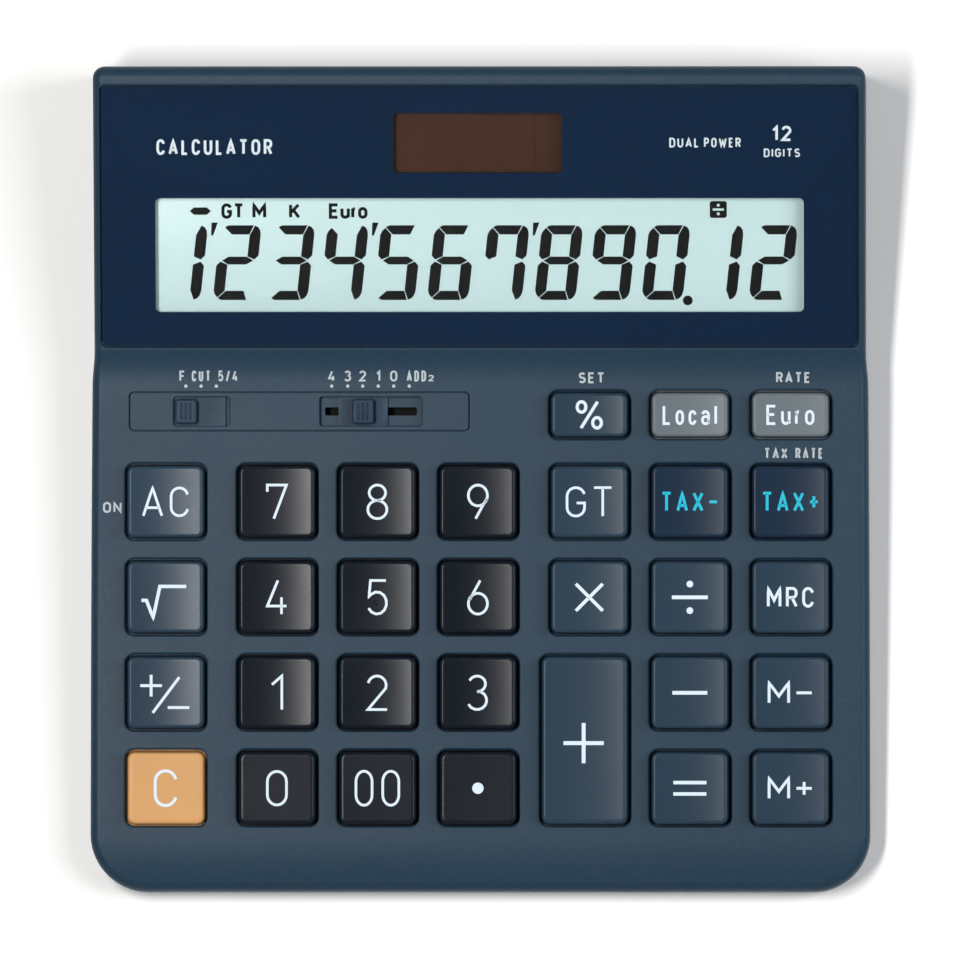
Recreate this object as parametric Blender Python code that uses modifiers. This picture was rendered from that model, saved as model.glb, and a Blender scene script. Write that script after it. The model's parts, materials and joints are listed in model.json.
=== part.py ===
"""Desk calculator: a wedge-shaped case with a raised display, thirty keys and two slide switches.

Metres, +Z up, +Y towards the display. The origin is on the table, under the middle of the case.
The deck frame lies in the sloping key deck and the display frame in the steeper display face;
in both, x runs across, y up the slope and z out of the surface.
"""
import math

import bmesh
import bpy
from mathutils import Matrix, Vector

MM = 0.001

# Overall case
CASE_WIDTH = 151.0 * MM
CASE_DEPTH = 159.0 * MM
CASE_HEIGHT = 28.5 * MM
FOOT_STAND = 1.0 * MM  # the feet hold the case this far above the table
FACE_GAP = 0.3 * MM  # air left between pieces that touch
WALL = 2.0 * MM
FLOOR = 1.8 * MM
EDGE_RADIUS = 1.8 * MM  # rounding round the top edge of the case
BOTTOM_RADIUS = 2.0 * MM
FRONT_CORNER = 11.0 * MM
REAR_CORNER = 2.3 * MM
LEAST_CORNER = 0.2 * MM  # of an inner corner under a thick wall
CORNER_STEPS = 5
EDGE_STEPS = 3
NECK_INSET = 0.4 * MM  # the deck narrows this much on each side towards the display
DISPLAY_INSET = 0.85 * MM  # and the display block is this much narrower on each side

# Side profile
DECK_SLOPE = math.radians(3.0)
NOSE_LENGTH = 10.5 * MM  # the deck rolls down over this length at the front edge
NOSE_DROP = 1.5 * MM
DISPLAY_LENGTH = 54.5 * MM  # plan length of the display block
RAMP_LENGTH = 6.6 * MM  # hollow ramp from the deck up to the display block
RAMP_RADIUS = 17.8 * MM
BROW_LENGTH = 3.5 * MM  # the display block rolls down over this length at the rear edge
BROW_DROP = 1.2 * MM
PARTING_DROP = 5.4 * MM  # the seam between the covers runs this far under the deck, parallel to it
FLOOR_GAP = 0.4 * MM  # from the floor up to the plane of the circuit board, at the front edge

# Keys: seven columns and four rows share the deck that these margins and gaps leave
SIDE_MARGIN = 7.45 * MM
KEYPAD_OFFSET = -0.35 * MM  # the keypad is this far off the middle
COLUMN_GAP = 4.25 * MM
GROUP_GAP = 6.35 * MM  # between the left column, the number block and the right block
FRONT_MARGIN = 12.73 * MM
ROW_GAP = 4.13 * MM
TOP_ROW_GAP = 5.175 * MM  # from the AC row to the half-height row
HALF_KEY_DEPTH = 8.95 * MM
REAR_MARGIN = 1.3 * MM
PLUS_KEY_EXTRA = 1.8 * MM  # the plus key is this much wider, on its left
KEY_CORNER = 1.5 * MM
KEY_DRAFT = 0.27 * MM  # each side of the key leans in this much from flange to top
KEY_RISE = 3.2 * MM  # key top above the deck
KEY_DISH = 0.35 * MM
KEY_WALL = 1.2 * MM
KEY_CLEARANCE = 0.25 * MM  # round the key, in its hole
KEY_TRAVEL = 1.4 * MM
FLANGE_REACH = 0.75 * MM
FLANGE_THICKNESS = 0.7 * MM
FLANGE_SLACK = 0.1 * MM  # between the flange and the underside of the deck
STEM_RADIUS = 2.0 * MM
STEM_REACH = 0.2 * MM  # the stem ends this far under the flange

# Key mat and circuit board, as depths below the deck
DOME_SPARE = 0.2 * MM  # height left in a dome when its key is fully down
DOME_HEIGHT = KEY_TRAVEL + DOME_SPARE
DOME_BASE_RADIUS = 3.6 * MM
DOME_TOP_RADIUS = 2.4 * MM
DOME_SKIN = 0.7 * MM
MAT_THICKNESS = 0.6 * MM
MAT_EDGE = 1.2 * MM  # mat beyond the outermost domes
MAT_END = 2.0 * MM  # and this much more at its front and rear
BOARD_THICKNESS = 1.0 * MM
BOARD_CORNER = 2.0 * MM
BOARD_TAIL = 0.6 * MM  # board under the foot of the ramp
BOARD_EDGE = 4.8 * MM  # board outline beyond the outermost key centres
POST_RADIUS = 2.2 * MM
BOARD_SCREW_LENGTH = 3.6 * MM
BOARD_SCREW_HEAD = 0.9 * MM

# Slide switches
SWITCH_ROW_LIFT = 0.65 * MM  # the switches' middle line above the half-height key row
PLATE_DEPTH = 7.3 * MM
PLATE_THICKNESS = 0.7 * MM
PLATE_CORNER = 0.8 * MM
PLATE_SLACK = 0.1 * MM  # under the plate, in its seat
PLATE_LEFT_INSET = 0.6 * MM  # from the left column's outer edge
PLATE_RIGHT_INSET = 1.85 * MM  # from the middle column's centre line
PLATE_LEDGE = 1.2 * MM
SLOT_WIDTH = 5.6 * MM
SLOT_STEP = 3.0 * MM
SLOT_SLACK = 0.3 * MM
SLOT_CORNER = 0.5 * MM
KNOB_SIZE = (4.2 * MM, 4.8 * MM)
KNOB_RISE = 1.6 * MM
KNOB_CORNER = 0.6 * MM
SHUTTER_THICKNESS = 0.6 * MM
SHUTTER_LAYER_GAP = 0.2 * MM
SWITCH_FLOOR = 1.2 * MM
ROUNDING_STEPS = 3
ROUNDING_REST = 0
ROUNDING_INSET = 10.9 * MM  # first position, from the plate's left end
ROUNDING_SHUTTER = 15.2 * MM
DECIMAL_STEPS = 6
DECIMAL_REST = 2
DECIMAL_INSET = 11.45 * MM  # last position, from the plate's right end
DECIMAL_SHUTTER = 9.5 * MM
SWITCH_STEM = 2.4 * MM
WIPER_ROOM = 1.2 * MM  # between the stem and the board
WIPER_THICKNESS = 0.2 * MM
WIPER_HALF_LENGTH = 2.6 * MM
WIPER_WIDTH = 2.0 * MM
WIPER_CURL = 0.15 * MM

# Display
WINDOW_SIDE_RIM = 1.55 * MM  # case rim left beside the window
WINDOW_FRONT_RIM = 0.8 * MM
WINDOW_REAR_RIM = 0.6 * MM
WINDOW_THICKNESS = 1.5 * MM
WINDOW_SINK = 0.2 * MM
WINDOW_CORNER = 1.0 * MM
SHELF = 1.4 * MM
LCD_SIDE_MARGIN = 9.4 * MM  # from the window's edges to the opening for the LCD
LCD_FRONT_MARGIN = 5.9 * MM
LCD_OVERLAP = 1.8 * MM  # the LCD reaches this far behind the shelf on each side
LCD_THICKNESS = 2.2 * MM
SOLAR_OPENING = (34.2 * MM, 13.4 * MM)
SOLAR_REAR_MARGIN = 3.85 * MM
SOLAR_LCD_GAP = 3.05 * MM  # between the two openings
SOLAR_OVERLAP = 0.7 * MM
SOLAR_THICKNESS = 1.2 * MM
BRACKET_THICKNESS = 1.5 * MM
BRACKET_EDGE = 2.0 * MM
BRACKET_CORNER = 1.0 * MM
RIBBON_WIDTH = 58.0 * MM
RIBBON_THICKNESS = 0.3 * MM
RIBBON_CENTRE = -21.0 * MM
RIBBON_END = 1.6 * MM  # ribbon soldered along this much of the board

# Underside
FOOT_RADIUS = 5.5 * MM
FOOT_THICKNESS = 1.5 * MM
FOOT_CHAMFER = 0.4 * MM
FOOT_SIDE = 22.0 * MM  # foot centres from the case sides and ends
FOOT_END = 9.5 * MM
SCREW_HEAD_RADIUS = 2.5 * MM
SCREW_HEAD = 1.4 * MM
SCREW_SHAFT_RADIUS = 1.2 * MM
SCREW_LENGTH = 5.2 * MM
SCREW_CLAMP = 1.8 * MM  # rear cover left under the screw head
BOSS_WALL = 1.0 * MM
FRONT_SCREW_SIDE = 7.0 * MM
FRONT_SCREW_END = 8.3 * MM
REAR_SCREW_SIDE = 11.5 * MM
REAR_SCREW_END = 12.5 * MM
POST_WALL = 1.4 * MM
HATCH_SIZE = (26.0 * MM, 18.0 * MM, 1.5 * MM)
HATCH_CORNER = 0.8 * MM
HATCH_CENTRE_X = 38.0 * MM
HATCH_REAR = 29.5 * MM  # hatch centre from the rear edge
HATCH_LEDGE = 1.5 * MM
WELL_HEIGHT = 8.6 * MM
WELL_WALL = 1.2 * MM
CELL_RADIUS = 5.8 * MM
CELL_HEIGHT = 5.4 * MM
CELL_RIM = 0.5 * MM
CELL_OFFSET = -4.5 * MM
HATCH_SCREW_OFFSET = 7.8 * MM
HATCH_SCREW_HEAD_RADIUS = 2.0 * MM
HATCH_SCREW_HEAD = 1.0 * MM
HATCH_SCREW_SHAFT_RADIUS = 0.9 * MM
HATCH_SCREW_LENGTH = 5.0 * MM
CONTACT_THICKNESS = 0.3 * MM
CONTACT_WIDTH = 5.0 * MM
CONTACT_CURL = 0.3 * MM  # a free end turns up or out by this much
CONTACT_TAB = 1.6 * MM
CHIP_RADIUS = 6.0 * MM
CHIP_HEIGHT = 1.4 * MM

ROUND_SIDES = 16
SMALL_SIDES = 8
CUT = 1.0 * MM  # cutters pass this far through what they cut

# Worked out from the above
HALF_WIDTH = CASE_WIDTH / 2
FRONT_Y = -CASE_DEPTH / 2
REAR_Y = CASE_DEPTH / 2
DISPLAY_Y = REAR_Y - DISPLAY_LENGTH
RAMP_Y = DISPLAY_Y - RAMP_LENGTH
BROW_Y = REAR_Y - BROW_LENGTH
NOSE_Y = FRONT_Y + NOSE_LENGTH

FLANGE_TOP = -WALL - FLANGE_SLACK
FLANGE_BOTTOM = FLANGE_TOP - FLANGE_THICKNESS
STEM_BOTTOM = FLANGE_BOTTOM - STEM_REACH
DOME_TOP = STEM_BOTTOM - FACE_GAP
MAT_TOP = DOME_TOP - DOME_HEIGHT
BOARD_TOP = MAT_TOP - MAT_THICKNESS - FACE_GAP
BOARD_BOTTOM = BOARD_TOP - BOARD_THICKNESS

DECK_FRONT_HEIGHT = FOOT_STAND + FLOOR + FLOOR_GAP - BOARD_BOTTOM
DECK_RISE = math.tan(DECK_SLOPE)
RAMP_ANGLE = math.asin(math.sin(DECK_SLOPE) + RAMP_LENGTH / RAMP_RADIUS)
RAMP_TOP_HEIGHT = (
    DECK_FRONT_HEIGHT
    + (RAMP_Y - FRONT_Y) * DECK_RISE
    + RAMP_RADIUS * (math.cos(DECK_SLOPE) - math.cos(RAMP_ANGLE))
)
BROW_CURL = BROW_LENGTH**2 / (4 * BROW_DROP)
DISPLAY_RUN = BROW_Y - DISPLAY_Y
DISPLAY_RISE = (
    math.sqrt(DISPLAY_RUN**2 + 4 * BROW_CURL * (CASE_HEIGHT - RAMP_TOP_HEIGHT)) - DISPLAY_RUN
) / (2 * BROW_CURL)
DISPLAY_TILT = math.atan(DISPLAY_RISE)

KEY_WIDTH = (CASE_WIDTH - 2 * SIDE_MARGIN - 4 * COLUMN_GAP - 2 * GROUP_GAP) / 7
ROWS_ROOM = RAMP_Y - FRONT_Y - FRONT_MARGIN - TOP_ROW_GAP - HALF_KEY_DEPTH - REAR_MARGIN
KEY_DEPTH = (ROWS_ROOM - 3 * ROW_GAP) / 4
COLUMN_PITCH = KEY_WIDTH + COLUMN_GAP
GROUP_PITCH = KEY_WIDTH + GROUP_GAP
ROW_PITCH = KEY_DEPTH + ROW_GAP
FRONT_ROW_Y = FRONT_Y + FRONT_MARGIN + KEY_DEPTH / 2
ROW_Y = [FRONT_ROW_Y + (3 - row) * ROW_PITCH for row in range(4)]
TOP_ROW_Y = ROW_Y[0] + KEY_DEPTH / 2 + TOP_ROW_GAP + HALF_KEY_DEPTH / 2
NUMBER_X = [KEYPAD_OFFSET + (col - 2) * COLUMN_PITCH for col in range(3)]
LEFT_X = NUMBER_X[0] - GROUP_PITCH
RIGHT_X = [NUMBER_X[2] + GROUP_PITCH + col * COLUMN_PITCH for col in range(3)]
PLUS_KEY_WIDTH = KEY_WIDTH + PLUS_KEY_EXTRA
PLUS_KEY_X = RIGHT_X[0] - PLUS_KEY_EXTRA / 2
PLUS_KEY_Y = (ROW_Y[2] + ROW_Y[3]) / 2
PLUS_KEY_DEPTH = ROW_PITCH + KEY_DEPTH
SWITCH_Y = TOP_ROW_Y + SWITCH_ROW_LIFT
PLATE_LEFT = LEFT_X - KEY_WIDTH / 2 + PLATE_LEFT_INSET
PLATE_RIGHT = NUMBER_X[2] - PLATE_RIGHT_INSET
PLATE_X = (PLATE_LEFT + PLATE_RIGHT) / 2
PLATE_WIDTH = PLATE_RIGHT - PLATE_LEFT
SHUTTER_TOP = -PLATE_THICKNESS - SHUTTER_LAYER_GAP
SWITCH_FLOOR_TOP = SHUTTER_TOP - SHUTTER_THICKNESS - SHUTTER_LAYER_GAP
SWITCH_STEM_BOTTOM = BOARD_TOP + WIPER_ROOM

WINDOW_WIDTH = CASE_WIDTH - 2 * (DISPLAY_INSET + WINDOW_SIDE_RIM)
WINDOW_REAR = DISPLAY_RUN / math.cos(DISPLAY_TILT) - WINDOW_REAR_RIM
WINDOW_LENGTH = WINDOW_REAR - WINDOW_FRONT_RIM
WINDOW_CENTRE = (WINDOW_FRONT_RIM + WINDOW_REAR) / 2
SOLAR_CENTRE = WINDOW_REAR - SOLAR_REAR_MARGIN - SOLAR_OPENING[1] / 2
SOLAR_SIZE = tuple(size + 2 * SOLAR_OVERLAP for size in SOLAR_OPENING)
LCD_FRONT = WINDOW_FRONT_RIM + LCD_FRONT_MARGIN
LCD_REAR = SOLAR_CENTRE - SOLAR_OPENING[1] / 2 - SOLAR_LCD_GAP
LCD_CENTRE = (LCD_FRONT + LCD_REAR) / 2
LCD_OPENING = (WINDOW_WIDTH - 2 * LCD_SIDE_MARGIN, LCD_REAR - LCD_FRONT)
LCD_SIZE = tuple(size + 2 * LCD_OVERLAP for size in LCD_OPENING)
WINDOW_BOTTOM = -WINDOW_SINK - WINDOW_THICKNESS
SHELF_TOP = WINDOW_BOTTOM - FACE_GAP
SHELF_BOTTOM = SHELF_TOP - SHELF
LCD_TOP = SHELF_BOTTOM - FACE_GAP
LCD_BOTTOM = LCD_TOP - LCD_THICKNESS
BRACKET_TOP = LCD_BOTTOM - FACE_GAP
BRACKET_BOTTOM = BRACKET_TOP - BRACKET_THICKNESS
HATCH_Y = REAR_Y - HATCH_REAR
HATCH_TOP = FOOT_STAND + HATCH_SIZE[2]

# name, centre x, centre y, width, depth, material
KEYS = [
    ("key_percent", RIGHT_X[0], TOP_ROW_Y, KEY_WIDTH, HALF_KEY_DEPTH, "function_key"),
    ("key_local", RIGHT_X[1], TOP_ROW_Y, KEY_WIDTH, HALF_KEY_DEPTH, "grey_key"),
    ("key_euro", RIGHT_X[2], TOP_ROW_Y, KEY_WIDTH, HALF_KEY_DEPTH, "grey_key"),
    ("key_plus", PLUS_KEY_X, PLUS_KEY_Y, PLUS_KEY_WIDTH, PLUS_KEY_DEPTH, "function_key"),
]
FULL_SIZE_ROWS = [
    ["ac", "7", "8", "9", "gt", "tax_minus", "tax_plus"],
    ["root", "4", "5", "6", "multiply", "divide", "memory_recall"],
    ["sign", "1", "2", "3", None, "minus", "memory_minus"],
    ["clear", "0", "00", "point", None, "equals", "memory_plus"],
]
NUMBER_KEYS = {"7", "8", "9", "4", "5", "6", "1", "2", "3", "0", "00", "point"}
KEY_FINISH = {"clear": "clear_key", "tax_minus": "tax_key", "tax_plus": "tax_key"}
for row_y, row in zip(ROW_Y, FULL_SIZE_ROWS):
    for column_x, label in zip([LEFT_X, *NUMBER_X, *RIGHT_X], row):
        if label is None:
            continue
        finish = "number_key" if label in NUMBER_KEYS else KEY_FINISH.get(label, "function_key")
        KEYS.append((f"key_{label}", column_x, row_y, KEY_WIDTH, KEY_DEPTH, finish))

# material name: colour, roughness, metallic
FINISHES = {
    "housing": ((0.048, 0.075, 0.105), 0.5, 0.0),
    "rear_housing": ((0.040, 0.062, 0.088), 0.6, 0.0),
    "number_key": ((0.018, 0.019, 0.026), 0.4, 0.0),
    "function_key": ((0.042, 0.070, 0.100), 0.4, 0.0),
    "tax_key": ((0.022, 0.042, 0.075), 0.4, 0.0),
    "grey_key": ((0.210, 0.225, 0.245), 0.4, 0.0),
    "clear_key": ((0.740, 0.380, 0.130), 0.4, 0.0),
    "switch_plastic": ((0.030, 0.060, 0.095), 0.4, 0.0),
    "window": ((0.010, 0.024, 0.060), 0.15, 0.0),
    "lcd": ((0.620, 0.760, 0.760), 0.3, 0.0),
    "solar": ((0.070, 0.028, 0.020), 0.2, 0.0),
    "white_plastic": ((0.700, 0.700, 0.680), 0.5, 0.0),
    "silicone": ((0.300, 0.310, 0.320), 0.7, 0.0),
    "circuit_board": ((0.030, 0.160, 0.070), 0.5, 0.0),
    "epoxy": ((0.010, 0.010, 0.011), 0.3, 0.0),
    "ribbon": ((0.550, 0.330, 0.100), 0.4, 0.0),
    "rubber": ((0.020, 0.020, 0.020), 0.8, 0.0),
    "steel": ((0.550, 0.550, 0.540), 0.3, 1.0),
    "brass": ((0.700, 0.500, 0.220), 0.3, 1.0),
    "cell_steel": ((0.620, 0.620, 0.600), 0.25, 1.0),
}


# ---- the surfaces of the case ----


def top_height(y):
    """Height of the case's top surface above the table at y, without the edge rounding."""
    deck = DECK_FRONT_HEIGHT + (y - FRONT_Y) * DECK_RISE
    if y < NOSE_Y:
        return deck - NOSE_DROP * ((NOSE_Y - y) / NOSE_LENGTH) ** 2
    if y <= RAMP_Y:
        return deck
    if y <= DISPLAY_Y:
        angle = math.asin(math.sin(DECK_SLOPE) + (y - RAMP_Y) / RAMP_RADIUS)
        start = DECK_FRONT_HEIGHT + (RAMP_Y - FRONT_Y) * DECK_RISE
        return start + RAMP_RADIUS * (math.cos(DECK_SLOPE) - math.cos(angle))
    face = RAMP_TOP_HEIGHT + (y - DISPLAY_Y) * DISPLAY_RISE
    return face - BROW_DROP * (max(y - BROW_Y, 0.0) / BROW_LENGTH) ** 2


def parting_height(y):
    return DECK_FRONT_HEIGHT - PARTING_DROP + (y - FRONT_Y) * DECK_RISE


def half_width(y):
    """Half the case's width at y: the deck narrows a little, and the display block steps in."""
    along = min(max((y - FRONT_Y) / (RAMP_Y - FRONT_Y), 0.0), 1.0)
    step = min(max((y - RAMP_Y) / RAMP_LENGTH, 0.0), 1.0)
    smooth = step * step * (3 - 2 * step)
    return HALF_WIDTH - NECK_INSET * along**2 - (DISPLAY_INSET - NECK_INSET) * smooth


def outline(inset):
    """Plan outline, inset by a distance: the right side front to rear, then the left side back."""
    front_radius = max(FRONT_CORNER - inset, LEAST_CORNER)
    rear_radius = max(REAR_CORNER - inset, LEAST_CORNER)
    side = []
    for step in range(CORNER_STEPS + 1):
        angle = math.pi / 2 * step / CORNER_STEPS
        x = half_width(FRONT_Y) - inset - front_radius * (1 - math.sin(angle))
        side.append((x, FRONT_Y + inset + front_radius * (1 - math.cos(angle))))
    ramp_steps = 4
    stations = [RAMP_Y + RAMP_LENGTH * step / ramp_steps for step in range(ramp_steps + 1)]
    for y in [(FRONT_Y + RAMP_Y) / 2, *stations]:
        side.append((half_width(y) - inset, y))
    for step in range(EDGE_STEPS + 1):
        angle = math.pi / 2 * step / EDGE_STEPS
        x = half_width(REAR_Y) - inset - rear_radius * (1 - math.cos(angle))
        side.append((x, REAR_Y - inset - rear_radius * (1 - math.sin(angle))))
    return side + [(-x, y) for x, y in reversed(side)]


def loft_rings(rings):
    """A closed solid from rings of equal length; each end is closed across from side to side."""
    shape = bmesh.new()
    rows = [[shape.verts.new(point) for point in ring] for ring in rings]
    count = len(rows[0])
    for lower, upper in zip(rows, rows[1:]):
        for i in range(count):
            j = (i + 1) % count
            shape.faces.new((lower[i], lower[j], upper[j], upper[i]))
    for row in (rows[0], rows[-1]):
        for i in range(count // 2 - 1):
            shape.faces.new((row[i], row[i + 1], row[count - 2 - i], row[count - 1 - i]))
    bmesh.ops.recalc_face_normals(shape, faces=shape.faces)
    return shape


def ring_at(inset, height):
    """The outline inset by a distance, with each point at the height that a function gives."""
    return [Vector((x, y, height(y))) for x, y in outline(inset)]


def rounding(radius, steps):
    """(inset, drop) pairs round a quarter circle, from the side wall to the flat."""
    angles = [math.pi / 2 * step / steps for step in range(steps + 1)]
    return [(radius * (1 - math.cos(a)), radius * (1 - math.sin(a))) for a in angles]


# ---- making objects ----


def clear_scene():
    for obj in list(bpy.data.objects):
        bpy.data.objects.remove(obj, do_unlink=True)


def make_collection(name):
    made = bpy.data.collections.new(name)
    bpy.context.scene.collection.children.link(made)
    return made


def make_material(name):
    colour, roughness, metallic = FINISHES[name]
    made = bpy.data.materials.new(name)
    made.use_nodes = True
    shader = made.node_tree.nodes["Principled BSDF"]
    shader.inputs["Base Color"].default_value = (*colour, 1.0)
    shader.inputs["Roughness"].default_value = roughness
    shader.inputs["Metallic"].default_value = metallic
    made.diffuse_color = (*colour, 1.0)
    return made


def mesh_from(shape, name):
    mesh = bpy.data.meshes.new(name)
    shape.to_mesh(mesh)
    shape.free()
    return mesh


def add_object(name, mesh, finish, parent=None, location=(0.0, 0.0, 0.0)):
    """A visible piece of the calculator."""
    obj = bpy.data.objects.new(name, mesh)
    if not mesh.materials:
        mesh.materials.append(materials[finish])
    parts.objects.link(obj)
    obj.parent = parent
    obj.location = location
    return obj


def add_helper(name, mesh, parent=None, location=(0.0, 0.0, 0.0)):
    """A cutter, or a shape that is joined to a piece; it isn't a piece itself."""
    obj = bpy.data.objects.new(name, mesh)
    cutters.objects.link(obj)
    obj.hide_render = True
    obj.display_type = "WIRE"
    obj.parent = parent
    obj.location = location
    return obj


def add_frame(name, location, tilt):
    frame = bpy.data.objects.new(name, None)
    parts.objects.link(frame)
    frame.location = location
    frame.rotation_euler = (tilt, 0.0, 0.0)
    return frame


def combine(obj, operation, helper):
    modifier = obj.modifiers.new(helper.name, "BOOLEAN")
    modifier.operation = operation
    modifier.object = helper
    modifier.solver = "EXACT"


def baked_mesh(obj):
    """The object's mesh with its modifiers applied; the object itself is removed."""
    graph = bpy.context.evaluated_depsgraph_get()
    mesh = bpy.data.meshes.new_from_object(obj.evaluated_get(graph))
    bpy.data.objects.remove(obj, do_unlink=True)
    return mesh


def blocks(*boxes, corner=0.0, steps=2):
    """Boxes given as (centre, size), with their upright edges rounded when corner is set."""
    shape = bmesh.new()
    for centre, size in boxes:
        place = Matrix.Translation(centre) @ Matrix.Diagonal((*size, 1.0))
        bmesh.ops.create_cube(shape, size=1.0, matrix=place)
    if corner:
        upright = [e for e in shape.edges if (e.verts[0].co - e.verts[1].co).xy.length < 1e-7]
        bmesh.ops.bevel(
            shape, geom=upright, offset=corner, segments=steps, profile=0.5, affect="EDGES"
        )
    return mesh_from(shape, "blocks")


def slab(x, y, width, depth, low, high):
    """A box as (centre, size) from its plan centre, plan size and two heights."""
    return (x, y, (low + high) / 2), (width, depth, high - low)


def rods(*cylinders, sides=ROUND_SIDES):
    """Upright cylinders given as (x, y, radius, low, high)."""
    shape = bmesh.new()
    for x, y, radius, low, high in cylinders:
        bmesh.ops.create_cone(
            shape,
            cap_ends=True,
            segments=sides,
            radius1=radius,
            radius2=radius,
            depth=high - low,
            matrix=Matrix.Translation((x, y, (low + high) / 2)),
        )
    return mesh_from(shape, "rods")


def turned(profile, sides=ROUND_SIDES):
    """A shape turned about Z from (radius, height) points that run down its outer side."""
    shape = bmesh.new()
    points = [shape.verts.new((radius, 0.0, height)) for radius, height in profile]
    for upper, lower in zip(points, points[1:]):
        shape.edges.new((upper, lower))
    obj = add_helper("turned_profile", mesh_from(shape, "turned"))
    screw = obj.modifiers.new("turn", "SCREW")
    screw.steps = sides
    screw.render_steps = sides
    screw.use_merge_vertices = True
    screw.merge_threshold = 0.00001
    return baked_mesh(obj)


def strip(points, width, thickness):
    """A bent strip: an edge path in the YZ plane, widened along X and given a thickness."""
    shape = bmesh.new()
    sides = [[shape.verts.new((x, y, z)) for y, z in points] for x in (-width / 2, width / 2)]
    for i in range(len(points) - 1):
        shape.faces.new((sides[0][i], sides[1][i], sides[1][i + 1], sides[0][i + 1]))
    obj = add_helper("strip_path", mesh_from(shape, "strip"))
    solidify = obj.modifiers.new("thickness", "SOLIDIFY")
    solidify.thickness = thickness
    solidify.offset = 0.0
    solidify.use_even_offset = True
    return baked_mesh(obj)


# ---- the covers ----

BOARD_POSTS = [
    ((LEFT_X + NUMBER_X[0]) / 2, (ROW_Y[1] + ROW_Y[2]) / 2),
    ((NUMBER_X[2] + RIGHT_X[0]) / 2, (ROW_Y[0] + ROW_Y[1]) / 2),
]
FRONT_SCREW = (HALF_WIDTH - FRONT_SCREW_SIDE, FRONT_Y + FRONT_SCREW_END)
REAR_SCREW = (HALF_WIDTH - REAR_SCREW_SIDE, REAR_Y - REAR_SCREW_END)
CASE_SCREWS = {
    "case_screw_front_left": (-FRONT_SCREW[0], FRONT_SCREW[1]),
    "case_screw_front_right": FRONT_SCREW,
    "case_screw_rear_left": (-REAR_SCREW[0], REAR_SCREW[1]),
    "case_screw_rear_right": REAR_SCREW,
}
# x of the first position, number of positions, position at rest, width of the dust shutter
DECIMAL_FIRST = PLATE_RIGHT - DECIMAL_INSET - (DECIMAL_STEPS - 1) * SLOT_STEP
SWITCHES = {
    "rounding": (PLATE_LEFT + ROUNDING_INSET, ROUNDING_STEPS, ROUNDING_REST, ROUNDING_SHUTTER),
    "decimal": (DECIMAL_FIRST, DECIMAL_STEPS, DECIMAL_REST, DECIMAL_SHUTTER),
}


def screw_seat(y):
    """Height at which a case screw's head bears on the rear cover."""
    return parting_height(y) - FACE_GAP / 2 - SCREW_CLAMP


def slot_blocks(width, clearance, low, high):
    """One block for each switch, as long as something of that width travels, plus clearance."""
    boxes = []
    for first, steps, _, _ in SWITCHES.values():
        travel = (steps - 1) * SLOT_STEP
        boxes.append((first + travel / 2, travel + width + 2 * clearance, low, high))
    return boxes


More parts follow.
